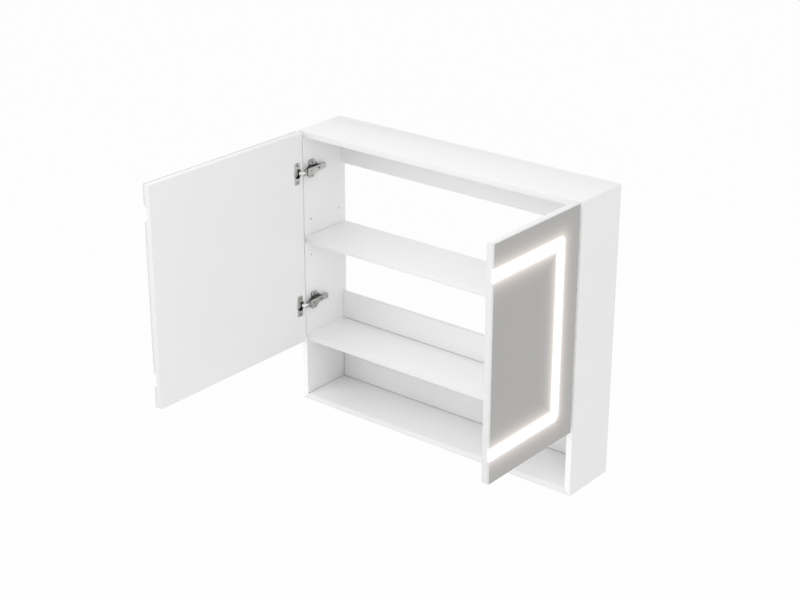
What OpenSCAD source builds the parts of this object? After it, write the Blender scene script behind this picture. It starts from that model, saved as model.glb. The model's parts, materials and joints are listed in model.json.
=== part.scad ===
// Wall-hung bathroom mirror cabinet with two unequal lit mirror doors, an open niche below,
// one fixed and one adjustable shelf. The doors stand open at a right angle to the front.
// Every piece is first built in the carcass frame: x from the left outer face, y from the
// front edges towards the wall, z from the underside. The finished piece is then moved so that
// the origin lies between the two keyhole hangers, in the plane of the wall.

/* [Carcass] */
// Outer width
cabinet_w = 800; // [720:1:960]
// Outer height
cabinet_h = 700; // [660:1:820]
// Depth of the carcass without its doors
cabinet_d = 150; // [140:1:190]
// Thickness of the sides, top, bottom and shelves
board_t = 15; // [14.6:0.1:18]
// Thickness of the niche back and of both back rails
back_t = 12; // [11:0.5:14]
// Clear height of the open niche
niche_h = 148; // [120:1:170]
// Height of the hanging rail under the top
hanging_rail_h = 98; // [84:1:120]
// Height of the back rail on the fixed shelf
lower_rail_h = 69; // [50:1:90]

/* [Adjustable shelf] */
// Height of the middle row of pin holes
pin_row_z = 428; // [400:1:450]
// Distance between two rows of pin holes
pin_pitch = 46; // [32:1:56]
// Distance of the front pin holes from the front edges
pin_front = 23; // [18:1:40]
// Distance of the rear pin holes from the wall
pin_rear = 25; // [20:1:40]
// Radius of a shelf pin
pin_r = 2.5; // [2:0.1:3]
// Length of a shelf pin inside the side
pin_in = 9; // [6:0.5:11]
// Length of a shelf pin that stands out of the side
pin_out = 7; // [5:0.5:10]
// Height of the shelf's slots, which hide the pins
shelf_slot_h = 11.5; // [8:0.5:12]
// Room between the shelf and each side
shelf_end_gap = 1; // [0.5:0.1:2]
// Room in front of and behind the shelf
shelf_depth_gap = 0.5; // [0.3:0.1:4]

/* [Doors] */
// Middle of the gap between the doors
door_split = 492.5; // [380:0.5:520]
// Gap between the closed doors
door_gap = 3; // [2:0.5:5]
// How far a closed door stays inside the outer face of its side
side_reveal = 1; // [0.5:0.1:2]
// How far a door stays inside the top and the fixed shelf's underside
end_reveal = 1; // [0.5:0.1:3]
// Thickness of the door board
door_board_t = 15; // [14.5:0.1:18]
// Thickness of the mirror glass
glass_t = 4; // [3:0.5:5]
// Gap between a closed door and the carcass
closed_gap = 2; // [1.8:0.1:3]
// Distance of the open door's hinge edge from the carcass
open_edge_gap = 8; // [7.5:0.1:9]

/* [Light band] */
// Distance of the band from the top, bottom and hinge edge of the glass
band_margin = 50; // [46:1:70]
// Width of the frosted band
band_w = 33.5; // [26:0.5:44]
// Radius of the band's outer corners
band_corner_r = 20; // [10:1:24]
// Depth of the frosted layer in the glass
frost_t = 0.4; // [0.2:0.1:0.8]
// Depth of the light groove in the door board
groove_d = 9; // [7:0.5:10]
// Board left between the light groove and the free edge
groove_end = 6; // [4:0.5:12]
// Thickness of the opal diffuser behind the glass
diffuser_t = 2; // [1.5:0.1:3]
// Width of the light strip
strip_w = 10; // [8:0.5:14]
// Thickness of the light strip with its light chips
strip_t = 1.6; // [1:0.1:2.4]

/* [Driver] */
// Width of the slim driver
driver_w = 30; // [24:1:34]
// Height of the slim driver
driver_h = 170; // [120:1:200]
// Thickness of the slim driver
driver_t = 7.6; // [5:0.1:8.4]
// Distance of the driver pocket from the hinge edge
driver_setback = 9; // [7:0.5:12]
// Radius of the low-voltage leads
lead_r = 1.6; // [1:0.1:2.2]
// Radius of the grommet in the door's hinge edge
grommet_r = 4; // [3:0.1:5]

/* [Hinges] */
// Distance of a hinge from the end of its door
hinge_inset = 98; // [80:1:140]
// Radius of the hinge cup
cup_r = 13; // [12.6:0.1:13.4]
// Depth of the hinge cup
cup_d = 10.5; // [10.3:0.1:12]
// Wall thickness of the hinge cup
cup_wall = 1; // [0.8:0.1:1.2]
// Board between the cup and the door's hinge edge
cup_edge = 4; // [3.6:0.1:4.6]
// Length of the cup's flange
flange_l = 54; // [48:1:60]
// Width of the cup's flange
flange_w = 18; // [16:0.5:22]
// Thickness of the cup's flange
flange_t = 1.2; // [0.8:0.1:1.5]
// Distance between the two screws of a cup
cup_screw_pitch = 42; // [38:1:48]
// Distance of the plate screws from the front edges
plate_front = 28; // [26:0.5:34]
// Distance between the two screws of a plate
plate_screw_pitch = 32; // [28:0.5:36]
// Height of a plate from wing tip to wing tip
plate_h = 45; // [42:1:52]
// Width of a plate's wings at its screws
wing_w = 20; // [16:0.5:24]
// Thickness of a plate's wings
wing_t = 2; // [1.5:0.1:2.5]
// Width of the hinge arm
arm_w = 19; // [18:0.5:22]
// Height of the hinge arm over the side at its front
arm_h = 14.8; // [14.5:0.1:16]
// Height of the hinge arm over the side at its rear
arm_rear_h = 10.5; // [9.5:0.1:12]
// Sheet thickness of the hinge arm
arm_t = 1.2; // [1:0.1:1.5]
// Radius of the hinge's pivot pins
pivot_r = 1; // [0.8:0.05:1.1]
// Radius of the pin in the inner link's cup end
link_pin_r = 0.8; // [0.6:0.05:0.9]

/* [Hangers] */
// Distance between the two keyhole hangers
hanger_pitch = 600; // [400:10:640]
// Radius of a keyhole's entry
keyhole_r = 5; // [4:0.5:6]
// Width of a keyhole's slot
keyhole_slot_w = 5.5; // [4:0.1:6]
// Thickness of a hanger plate
hanger_t = 2; // [1.5:0.1:2.5]

/* [Hidden] */
$fn = 48;
// overrun of a cut past its face
over = 1;
// radial clearance of fixed pins, screws and dowels in their holes
seat_gap = 0.05;
// radial clearance of a turning pivot
run_gap = 0.05;
// clearance between flat faces of let-in pieces
inset_gap = 0.3;

door_t = door_board_t + glass_t;
fixed_shelf_z = board_t + niche_h;
fixed_shelf_top = fixed_shelf_z + board_t;
back_y = cabinet_d - back_t;
door_z = fixed_shelf_z + end_reveal;
door_h = cabinet_h - end_reveal - door_z;
left_door_w = door_split - door_gap / 2 - side_reveal;
right_door_w = cabinet_w - door_split - door_gap / 2 - side_reveal;
hinge_zs = [door_z + hinge_inset, door_z + door_h - hinge_inset];
pin_zs = [pin_row_z - pin_pitch, pin_row_z, pin_row_z + pin_pitch];
pin_ys = [pin_front, cabinet_d - pin_rear];
shelf_z = pin_row_z + pin_r + seat_gap - shelf_slot_h;

// dowels, cams and their bolts
dowel_r = 3;
dowel_in_side = 9;
dowel_in_end = 19;
dowel_end_gap = 0.5;
cam_r = 7.5;
cam_h = 11.5;
cam_setback = 24;
cam_bolt_r = 2.4;
cam_bolt_in = 9;
cam_slot_w = 1.6;
cam_slot_d = 1.5;
cam_head_l = 5;
dowel_row_offset = 22;
shelf_dowel_ys = [cabinet_d / 2 - dowel_row_offset, cabinet_d / 2 + dowel_row_offset];
cam_front = 30;
cam_ys = [cam_front, cabinet_d - cam_front];
rail_dowel_inset = 22;
niche_dowel_inset = 34;

// keyhole hangers in the back of the hanging rail
hanger_w = 34;
hanger_h = 56;
hanger_corner_r = 4;
hanger_drop = 7;
keyhole_slot_l = 14;
keyhole_room_w = 13;
keyhole_room_d = 7;
hanger_screw_r = 1.75;
hanger_screw_l = 9;
hanger_screw_head_r = 3.5;
hanger_screw_inset = 6;
hanging_rail_z = cabinet_h - board_t - hanging_rail_h;
hanger_z = hanging_rail_z + hanging_rail_h / 2 - hanger_drop;
hanger_xs = [(cabinet_w - hanger_pitch) / 2, (cabinet_w + hanger_pitch) / 2];

// hinge pivots: the door turns about a centre that follows from where it lies closed and open,
// and an arm pin lies on the line that halves the angle between its cup pin's two places
turn_x = (closed_gap + door_t + side_reveal - open_edge_gap) / 2;
turn_y = (side_reveal - open_edge_gap - closed_gap - door_t) / 2;
turn = [turn_x, turn_y];
// the pivots in the cup, from the door's hinge edge and inner face
outer_cup_pin = [8.4, 2.3];
inner_cup_pin = [12.2, 0.5];
// distances of the arm's pivots from the centre of the turn
outer_arm_reach = 20.3;
inner_arm_reach = 19.8;
function closed_at(p) = [side_reveal + p.x, -closed_gap - p.y];
function open_at(p) = [door_t - p.y, -open_edge_gap - p.x];
function unit(v) = v / norm(v);
function arm_pin(p, reach) = turn + reach * unit(unit(closed_at(p) - turn) + unit(open_at(p) - turn));
outer_arm_pin = arm_pin(outer_cup_pin, outer_arm_reach);
inner_arm_pin = arm_pin(inner_cup_pin, inner_arm_reach);

// half widths, counted from the middle of a hinge: inner link, outer link's cheeks, arm's nose
inner_link_half = 3.1;
cheek_in = 3.3;
cheek_out = 5;
nose_in = 5.2;
nose_out = 6.4;
eye_r = 1.7;
cheek_r = 1.1;
inner_link_r = 1.5;
// the cheeks' knee, along the line from the cup pin to the arm pin and beside it
knee_along = 1.6;
knee_beside = 3.8;
bridge_in = 1.2;
bridge_out = 2.1;
bridge_from = 1.5;
bridge_to = 5;
nose_r = 1.9;
nose_back = 14;
rivet_head = 0.3;
cup_pin_end = 8.9;
cup_x = cup_edge + cup_r;
flange_shift = 2;
flange_corner = 4;
cup_collar = 0.4;
cup_screw_r = 1.75;
cup_screw_l = 9;
cup_screw_head_r = 3.2;
cup_screw_head_t = 1.4;
slot_w = 0.8;
slot_d = 0.7;
damper_t = 0.6;

// plates and arms, y counted from the front edges
plate_block_front = 14;
plate_block_end = 46.6;
plate_block_w = 11;
plate_block_h = 5;
wing_corner = 5;
wing_tail_l = 9;
wing_tail_in = 4;
wing_tail_w = 22;
plate_screw_r = 2.6;
plate_screw_l = 12;
plate_screw_head_r = 3.6;
plate_screw_head_t = 1.3;
arm_front = 0.6;
arm_slope_start = 24;
arm_slope_end = 36;
arm_end = 50;
arm_taper_w = 14;
side_screw_y = 13;
side_screw_r = 2.6;
fix_screw_y = 44;
fix_screw_r = 3.1;
fix_shank_r = 2.2;
fix_screw_head_t = 1.1;
lever_cap_gap = 1.6;
lever_front = arm_end + lever_cap_gap;
lever_end = 71;
lever_w = 14;
lever_low = 5;
lever_t = 4.5;
lever_corner = 3;
lever_eye_r = 1.5;
lever_pin_r = 0.8;
lever_neck_t = 2.6;
neck_w = 11;
lever_pivot_in = 1.6;
lever_pivot = [board_t + lever_low + lever_eye_r, arm_end - lever_pivot_in];

lacquer = "white";
door_white = "whitesmoke";
nickel = "silver";

// Places

// from the carcass frame to the part's own frame
module placed() translate([-cabinet_w / 2, -cabinet_d, -hanger_z]) children();

// the mirror image on the right-hand side of the cabinet
module right_hand() translate([cabinet_w, 0, 0]) mirror([1, 0, 0]) children();

module both_hands() {
  children();
  right_hand() children();
}

// from a closed door's own frame, x from its hinge edge and y from its inner face, to the open door
module open_door() translate([door_t, -open_edge_gap, 0]) rotate([0, 0, -90]) children();

module at_hinges() for (z = hinge_zs) translate([0, 0, z]) children();

// Shapes

// a flat outline in x and z, given a thickness from y = from towards the front
module upright(from, thick) translate([0, from, 0]) rotate([90, 0, 0]) linear_extrude(thick) children();

// a block that stands between two levels, drawn in x and y
module level(low, high) translate([0, 0, low]) linear_extrude(high - low) children();

// the same block on both sides of a hinge's middle
module level_pair(low, high) {
  level(low, high) children();
  level(-high, -low) children();
}

// a cylinder along x from x0 to x1
module x_rod(r, x0, x1) translate([x0, 0, 0]) rotate([0, 90, 0]) cylinder(r = r, h = x1 - x0);

// a cylinder along y from y0 to y1
module y_rod(r, y0, y1) translate([0, y1, 0]) rotate([90, 0, 0]) cylinder(r = r, h = y1 - y0);

module rounded_rect(w, h, r) {
  translate([r, 0]) square([w - 2 * r, h]);
  translate([0, r]) square([w, h - 2 * r]);
  for (x = [r, w - r], y = [r, h - r]) translate([x, y]) circle(r);
}

// a straight bar with round ends in p and q
module bar(p, q, r) {
  side = r * [-(q - p).y, (q - p).x] / norm(q - p);
  translate(p) circle(r);
  translate(q) circle(r);
  polygon([p + side, q + side, q - side, p - side]);
}

// Carcass

// one side with mitred ends, its pin holes, plate screw holes, dowel holes and bolt holes
module side_panel() {
  color(lacquer) difference() {
    upright(cabinet_d, cabinet_d)
      polygon([[0, 0], [board_t, board_t], [board_t, cabinet_h - board_t], [0, cabinet_h]]);
    for (y = pin_ys, z = pin_zs) translate([0, y, z])
      x_rod(pin_r + seat_gap, board_t - pin_in - seat_gap, board_t + over);
    at_hinges() for (s = [-1, 1]) translate([0, plate_front, s * plate_screw_pitch / 2])
      x_rod(plate_screw_r + seat_gap, board_t - plate_screw_l - seat_gap, board_t + over);
    dowel_places() x_rod(dowel_r + seat_gap, -dowel_in_side - dowel_end_gap, over);
    cam_places() x_rod(cam_bolt_r + seat_gap, -cam_bolt_in - seat_gap, over);
  }
}

module left_side_panel() side_panel();

module right_side_panel() right_hand() side_panel();

// the ends of shelf and rails meet the left side's inner face here
module dowel_places() {
  translate([board_t, 0, fixed_shelf_z + board_t / 2])
    for (y = shelf_dowel_ys) translate([0, y, 0]) children();
  translate([board_t, back_y + back_t / 2, 0]) {
    for (z = [hanging_rail_z + rail_dowel_inset, hanging_rail_z + hanging_rail_h - rail_dowel_inset])
      translate([0, 0, z]) children();
    for (z = [board_t + niche_dowel_inset, fixed_shelf_z - niche_dowel_inset])
      translate([0, 0, z]) children();
    translate([0, 0, fixed_shelf_top + lower_rail_h / 2]) children();
  }
}

module dowel_end_holes() both_hands() dowel_places()
  x_rod(dowel_r + seat_gap, -over, dowel_in_end + dowel_end_gap);

module joint_dowels() {
  color("burlywood") both_hands() dowel_places() x_rod(dowel_r, -dowel_in_side, dowel_in_end);
}

module cam_places() translate([board_t, 0, fixed_shelf_z + board_t / 2])
  for (y = cam_ys) translate([0, y, 0]) children();

module cam_bolts() {
  color(nickel) both_hands() cam_places() {
    x_rod(cam_bolt_r, -cam_bolt_in, cam_setback - cam_head_l);
  }
}

module cam_locks() {
  color(nickel) both_hands() cam_places() translate([cam_setback, 0, -board_t / 2]) difference() {
    cylinder(r = cam_r, h = cam_h);
    translate([-cam_r, -cam_slot_w / 2, -over]) cube([2 * cam_r, cam_slot_w, cam_slot_d + over]);
    translate([-cam_r - over, 0, board_t / 2])
      x_rod(cam_bolt_r + seat_gap, 0, cam_r + over - cam_head_l + seat_gap);
  }
}

module top_panel() {
  color(lacquer) upright(cabinet_d, cabinet_d)
    polygon([[0, cabinet_h], [board_t, cabinet_h - board_t],
             [cabinet_w - board_t, cabinet_h - board_t], [cabinet_w, cabinet_h]]);
}

module bottom_panel() {
  color(lacquer) upright(cabinet_d, cabinet_d)
    polygon([[0, 0], [cabinet_w, 0], [cabinet_w - board_t, board_t], [board_t, board_t]]);
}

module fixed_shelf() {
  color(lacquer) difference() {
    translate([board_t, 0, fixed_shelf_z]) cube([cabinet_w - 2 * board_t, cabinet_d, board_t]);
    dowel_end_holes();
    both_hands() cam_places() {
      x_rod(cam_bolt_r + seat_gap, -over, cam_setback);
      translate([cam_setback, 0, -board_t / 2 - over])
        cylinder(r = cam_r + seat_gap, h = cam_h + over + seat_gap);
    }
  }
}

// a board between the sides against the wall, bored for its dowels
module back_board(low, high) {
  difference() {
    translate([board_t, back_y, low]) cube([cabinet_w - 2 * board_t, back_t, high - low]);
    dowel_end_holes();
  }
}

module niche_back_panel() {
  color(lacquer) back_board(board_t, fixed_shelf_z);
}

module lower_back_rail() {
  color(lacquer) back_board(fixed_shelf_top, fixed_shelf_top + lower_rail_h);
}

// the rail that hangs on the wall, with a seat and screw room for each hanger
module hanging_rail() {
  color(lacquer) difference() {
    back_board(hanging_rail_z, hanging_rail_z + hanging_rail_h);
    at_hangers() {
      upright(over, hanger_t + over + seat_gap) offset_rect(hanger_w, hanger_h, seat_gap);
      upright(over, keyhole_room_d + hanger_t + over) keyhole_room();
      hanger_screw_places() y_rod(hanger_screw_r + seat_gap, -hanger_t - hanger_screw_l, over);
    }
  }
}

module at_hangers() for (x = hanger_xs) translate([x, cabinet_d, hanger_z]) children();

// the hanger plate's outline, grown by a gap, round the middle between its screws
module offset_rect(w, h, gap) translate([-w / 2 - gap, hanger_drop - h / 2 - gap])
  rounded_rect(w + 2 * gap, h + 2 * gap, hanger_corner_r + gap);

module keyhole_room() {
  translate([-keyhole_room_w / 2, -keyhole_room_w / 2])
    square([keyhole_room_w, keyhole_room_w + keyhole_slot_l]);
}

module hanger_screw_places() for (s = [-1, 1])
  translate([0, 0, hanger_drop + s * (hanger_h / 2 - hanger_screw_inset)]) children();

module keyhole_hangers() {
  color(nickel) at_hangers() difference() {
    upright(0, hanger_t) offset_rect(hanger_w, hanger_h, 0);
    y_rod(keyhole_r, -hanger_t - over, over);
    upright(over, hanger_t + 2 * over) bar([0, 0], [0, keyhole_slot_l], keyhole_slot_w / 2);
    hanger_screw_places() translate([0, -hanger_t, 0]) rotate([-90, 0, 0])
      cylinder(r1 = hanger_screw_r + seat_gap, r2 = hanger_screw_head_r + seat_gap, h = hanger_t);
    hanger_screw_places() y_rod(hanger_screw_r + seat_gap, -hanger_t - over, over);
  }
}

module hanger_screws() {
  color(nickel) at_hangers() hanger_screw_places() {
    translate([0, -hanger_t, 0]) rotate([-90, 0, 0])
      cylinder(r1 = hanger_screw_r, r2 = hanger_screw_head_r, h = hanger_t);
    y_rod(hanger_screw_r, -hanger_t - hanger_screw_l, -hanger_t);
  }
}

// the shelf with a slot over each pin, open downwards and at its end
module adjustable_shelf() {
  color(lacquer) difference() {
    translate([board_t + shelf_end_gap, shelf_depth_gap, shelf_z])
      cube([cabinet_w - 2 * board_t - 2 * shelf_end_gap, cabinet_d - 2 * shelf_depth_gap, board_t]);
    both_hands() for (y = pin_ys) translate([board_t, y, pin_row_z]) {
      x_rod(pin_r + seat_gap, -over, pin_out + shelf_end_gap);
      translate([-over, -pin_r - seat_gap, shelf_z - pin_row_z - over])
        cube([over + pin_out + shelf_end_gap, 2 * (pin_r + seat_gap), pin_row_z - shelf_z + over]);
    }
  }
}

module shelf_pins() {
  color(nickel) both_hands() for (y = pin_ys) translate([board_t, y, pin_row_z])
    x_rod(pin_r, -pin_in, pin_out);
}

// Hinge pieces on the carcass, drawn for the left side at one hinge's height

module mounting_plate() {
  difference() {
    union() {
      translate([board_t, plate_front, 0]) rotate([0, 90, 0]) linear_extrude(wing_t) wing_outline();
      translate([board_t, plate_block_front, -plate_block_w / 2])
        cube([plate_block_h, plate_block_end - plate_block_front, plate_block_w]);
    }
    plate_screw_places() x_rod(plate_screw_r + seat_gap, board_t - over, board_t + wing_t + over);
  }
}

// round the screws, with a tail that narrows towards the wall
module wing_outline() {
  half = plate_h / 2;
  translate([-half, -wing_w / 2]) rounded_rect(plate_h, wing_w, wing_corner);
  polygon([
    [-half + wing_tail_in, wing_w / 2 - wing_corner], [half - wing_tail_in, wing_w / 2 - wing_corner],
    [half - wing_tail_in, wing_w / 2], [wing_tail_w / 2, wing_w / 2 + wing_tail_l],
    [-wing_tail_w / 2, wing_w / 2 + wing_tail_l], [-half + wing_tail_in, wing_w / 2]
  ]);
}

module plate_screw_places() for (s = [-1, 1])
  translate([0, plate_front, s * plate_screw_pitch / 2]) children();

module mounting_plates() {
  color(nickel) both_hands() at_hinges() mounting_plate();
}

// a cross recess in a head whose top lies at x
module cross_recess(x, r) for (a = [0, 90]) translate([x - slot_d, 0, 0]) rotate([a, 0, 0])
  translate([0, -r / 2, -slot_w / 2]) cube([slot_d + over, r, slot_w]);

module plate_screws() {
  color(nickel) both_hands() at_hinges() plate_screw_places() difference() {
    union() {
      x_rod(plate_screw_r, board_t - plate_screw_l, board_t + wing_t);
      x_rod(plate_screw_head_r, board_t + wing_t, board_t + wing_t + plate_screw_head_t);
    }
    cross_recess(board_t + wing_t + plate_screw_head_t, plate_screw_head_r);
  }
}

// the arm's block in side view, lowered by d and lengthened by o
function arm_side(d, o) = [
  [board_t + arm_h - d, arm_front - o], [board_t + arm_h - d, arm_slope_start],
  [board_t + arm_rear_h - d, arm_slope_end], [board_t + arm_rear_h - d, arm_end + o],
  [board_t + wing_t - o, arm_end + o], [board_t + wing_t - o, plate_front - wing_w / 2],
  [board_t + arm_rear_h - arm_t - o, arm_front - o]
];

// the same block seen from its top, d narrower on each side
module arm_plan(d, o) {
  front = arm_w / 2 - d;
  rear = arm_taper_w / 2 - d;
  translate([board_t, 0, 0]) rotate([0, 90, 0]) linear_extrude(arm_h + over) polygon([
    [-front, arm_front - o], [front, arm_front - o], [front, arm_slope_start],
    [rear, arm_slope_end], [rear, arm_end + o], [-rear, arm_end + o],
    [-rear, arm_slope_end], [-front, arm_slope_start]
  ]);
}

module arm_block(d, o) intersection() {
  level(-arm_w, arm_w) polygon(arm_side(d, o));
  arm_plan(d, o);
}

// the nose reaches forward to both arm pins
module arm_nose() {
  nose_top = board_t + arm_h - arm_t / 2;
  bar(inner_arm_pin, outer_arm_pin, nose_r);
  polygon([
    outer_arm_pin + [-nose_r, 0], outer_arm_pin + [nose_r, 0], [nose_top, arm_front],
    [nose_top, nose_back], [board_t + arm_rear_h, nose_back]
  ]);
}

module hinge_arm() {
  difference() {
    union() {
      difference() {
        arm_block(0, 0);
        arm_block(arm_t, over);
      }
      level_pair(nose_in, nose_out) arm_nose();
    }
    for (p = [outer_arm_pin, inner_arm_pin])
      translate([p.x, p.y, -arm_w]) cylinder(r = pivot_r, h = 2 * arm_w);
    translate([0, side_screw_y, 0])
      x_rod(side_screw_r + seat_gap, board_t + arm_rear_h, board_t + arm_h + over);
    translate([0, fix_screw_y, 0]) x_rod(fix_shank_r + seat_gap, board_t, board_t + arm_h);
    translate([lever_pivot.x, lever_pivot.y, -arm_w]) cylinder(r = lever_pin_r, h = 2 * arm_w);
  }
}
module hinge_arms() {
  color(nickel) both_hands() at_hinges() hinge_arm();
}

module side_adjusting_screws() {
  color(nickel) both_hands() at_hinges() translate([0, side_screw_y, 0]) difference() {
    x_rod(side_screw_r, board_t + plate_block_h + over, board_t + arm_h);
    cross_recess(board_t + arm_h, side_screw_r);
  }
}

module arm_fixing_screws() {
  color(nickel) both_hands() at_hinges() translate([0, fix_screw_y, 0]) difference() {
    union() {
      x_rod(fix_shank_r, board_t + plate_block_h, board_t + arm_rear_h);
      x_rod(fix_screw_r, board_t + arm_rear_h, board_t + arm_rear_h + fix_screw_head_t);
    }
    cross_recess(board_t + arm_rear_h + fix_screw_head_t, fix_screw_r);
  }
}

// the sprung lever that unclips the arm: a rounded cap on a neck that turns on a pin in the arm's end
module release_lever() difference() {
  union() {
    level(-neck_w / 2, neck_w / 2) {
      translate(lever_pivot) circle(lever_eye_r);
      translate([board_t + lever_low, lever_pivot.y])
        square([lever_neck_t, lever_front + lever_corner - lever_pivot.y]);
    }
    translate([board_t + lever_low, 0, 0]) rotate([0, 90, 0]) linear_extrude(lever_t)
      translate([-lever_w / 2, lever_front]) rounded_rect(lever_w, lever_end - lever_front, lever_corner);
  }
  translate([lever_pivot.x, lever_pivot.y, -arm_w]) cylinder(r = lever_pin_r + run_gap, h = 2 * arm_w);
}

module at_hinge(i) translate([0, 0, hinge_zs[i]]) children();

module left_lower_release_lever() color(nickel) at_hinge(0) release_lever();

module left_upper_release_lever() color(nickel) at_hinge(1) release_lever();

module right_lower_release_lever() color(nickel) right_hand() at_hinge(0) release_lever();

module right_upper_release_lever() color(nickel) right_hand() at_hinge(1) release_lever();

module lever_pins() {
  color("dimgray") both_hands() at_hinges()
    translate([lever_pivot.x, lever_pivot.y, -arm_taper_w / 2]) cylinder(r = lever_pin_r, h = arm_taper_w);
}

// one through pin for the inner link, two rivets for the outer link's cheeks
module arm_pivot_pins() {
  color("dimgray") both_hands() at_hinges() {
    translate([inner_arm_pin.x, inner_arm_pin.y, -nose_out - rivet_head])
      cylinder(r = pivot_r, h = 2 * (nose_out + rivet_head));
    for (s = [0, 1]) mirror([0, 0, s]) translate([outer_arm_pin.x, outer_arm_pin.y, cheek_in])
      cylinder(r = pivot_r, h = nose_out + rivet_head - cheek_in);
  }
}

// Links, drawn where they lie with the doors open at a right angle

// two cheeks, each with a knee that passes over the cup's rim, and a bridge between them
module outer_link() {
  p = outer_arm_pin;
  q = open_at(outer_cup_pin);
  along = unit(p - q);
  across = [along.y, -along.x];
  knee = q + along * knee_along + across * knee_beside;
  difference() {
    union() {
      level_pair(cheek_in, cheek_out) {
        translate(p) circle(eye_r);
        translate(q) circle(eye_r);
        bar(q, knee, cheek_r);
        bar(knee, p, cheek_r);
        bridge(p, along, across, -cheek_r);
      }
      level(-cheek_out, cheek_out) bridge(p, along, across, bridge_in);
    }
    for (c = [p, q]) translate([c.x, c.y, -arm_w]) cylinder(r = pivot_r + run_gap, h = 2 * arm_w);
  }
}

// a strip beside the line to the arm pin, from one distance of that line to the bridge's outer face
module bridge(p, along, across, from) polygon([
  p - along * bridge_from - across * from, p - along * bridge_to - across * from,
  p - along * bridge_to - across * bridge_out, p - along * bridge_from - across * bridge_out
]);

// a solid bar with an eye for the arm's pin and a hole for its own pin at the cup's end
module inner_link() {
  p = inner_arm_pin;
  q = open_at(inner_cup_pin);
  difference() {
    level(-inner_link_half, inner_link_half) {
      translate(p) circle(eye_r);
      bar(p, q, inner_link_r);
    }
    translate([p.x, p.y, -arm_w]) cylinder(r = pivot_r + run_gap, h = 2 * arm_w);
    translate([q.x, q.y, -arm_w]) cylinder(r = link_pin_r, h = 2 * arm_w);
  }
}

module inner_link_pin() {
  q = open_at(inner_cup_pin);
  translate([q.x, q.y, -inner_link_half]) cylinder(r = link_pin_r, h = 2 * inner_link_half);
}

module left_outer_links() color(nickel) at_hinges() outer_link();

module right_outer_links() color(nickel) right_hand() at_hinges() outer_link();

module left_inner_links() color(nickel) at_hinges() inner_link();

module right_inner_links() color(nickel) right_hand() at_hinges() inner_link();

module left_link_pins() color("dimgray") at_hinges() inner_link_pin();

module right_link_pins() color("dimgray") right_hand() at_hinges() inner_link_pin();

// Door pieces, drawn closed: x from the hinge edge, y = 0 at the inner face, z from the underside

// the lit band, a frame that is open at the free edge: rounded outside, square inside
module band_outline(w, inset, end) {
  m = band_margin + inset;
  c = band_corner_r - inset;
  inner = band_margin + band_w - inset;
  difference() {
    union() {
      translate([m + c, m]) square([end - m - c, door_h - 2 * m]);
      translate([m, m + c]) square([2 * c, door_h - 2 * m - 2 * c]);
      for (z = [m + c, door_h - m - c]) translate([m + c, z]) circle(c);
    }
    translate([inner, inner]) square([w, door_h - 2 * inner]);
  }
}

module door_place() translate([0, 0, door_z]) children();

module cup_places() at_hinges() translate([cup_x, 0, 0]) children();

driver_z = (door_h - driver_h) / 2;
driver_pocket_w = driver_w + 2 * inset_gap;
driver_corner = 3;
lead_y = -door_board_t + groove_d - lead_r;
lead_zs = [door_h / 2 - driver_h / 4, door_h / 2 + driver_h / 4];
strip_from = band_margin + (band_w - strip_w) / 2;
grommet_in = driver_setback / 2;
grommet_lip = 1;
grommet_lip_out = 1.2;
grommet_lip_r = grommet_r + grommet_lip_out;

module cup_screw_places() at_hinges() for (s = [-1, 1])
  translate([cup_x + flange_shift, 0, s * cup_screw_pitch / 2]) children();

module grommet_place() door_place() translate([0, lead_y, lead_zs[0]]) children();

// the board with its light groove, driver pocket, lead grooves, cup bores and screw holes
module door_board(w) {
  difference() {
    door_place() difference() {
      translate([0, -door_board_t, 0]) cube([w, door_board_t, door_h]);
      upright(-door_board_t + groove_d, groove_d + over) band_outline(w, 0, w - groove_end);
      upright(-door_board_t + groove_d, groove_d + over)
        translate([driver_setback, driver_z - inset_gap])
          square([driver_pocket_w, driver_h + 2 * inset_gap]);
      lead_groove(grommet_in, driver_setback + over, lead_zs[0]);
      lead_groove(driver_setback + driver_pocket_w - over, band_margin + over, lead_zs[1]);
    }
    grommet_place() x_rod(grommet_r + seat_gap, -over, grommet_in);
    cup_places() y_rod(cup_r + seat_gap, -cup_d - seat_gap, over);
    cup_screw_places() y_rod(cup_screw_r + seat_gap, -cup_screw_l, over);
  }
}

module lead_groove(x0, x1, z) {
  translate([x0, -door_board_t - over, z - lead_r - seat_gap])
    cube([x1 - x0, groove_d + over, 2 * (lead_r + seat_gap)]);
}

module mirror_glass(w) {
  door_place() difference() {
    upright(-door_board_t, glass_t) square([w, door_h]);
    upright(-door_t + frost_t, frost_t + over) band_outline(w, 0, w + over);
  }
}

module frosted_band(w) door_place() upright(-door_t + frost_t, frost_t) band_outline(w, 0, w);

module diffuser(w) {
  door_place() upright(-door_board_t + diffuser_t, diffuser_t)
    band_outline(w, inset_gap, w - groove_end - inset_gap);
}

module light_strip(w) {
  end = w - groove_end - strip_w;
  door_place() upright(-door_board_t + groove_d, strip_t) difference() {
    translate([strip_from, strip_from]) square([end - strip_from, door_h - 2 * strip_from]);
    translate([strip_from + strip_w, strip_from + strip_w])
      square([w, door_h - 2 * (strip_from + strip_w)]);
  }
}

module driver() {
  door_place() upright(-door_board_t + groove_d, driver_t)
    translate([driver_setback + inset_gap, driver_z]) rounded_rect(driver_w, driver_h, driver_corner);
}

// one lead from the grommet to the driver, one from the driver to the light strip
module leads() door_place() {
  translate([0, lead_y, lead_zs[0]]) x_rod(lead_r, -grommet_lip, driver_setback + inset_gap);
  translate([0, lead_y, lead_zs[1]]) x_rod(lead_r, driver_setback + inset_gap + driver_w, strip_from);
}

// the supply lead's gland in the door's hinge edge
module lead_grommet() grommet_place() difference() {
  union() {
    x_rod(grommet_r, 0, grommet_in);
    x_rod(grommet_lip_r, -grommet_lip, 0);
  }
  x_rod(lead_r, -grommet_lip - over, grommet_in + over);
}

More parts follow.
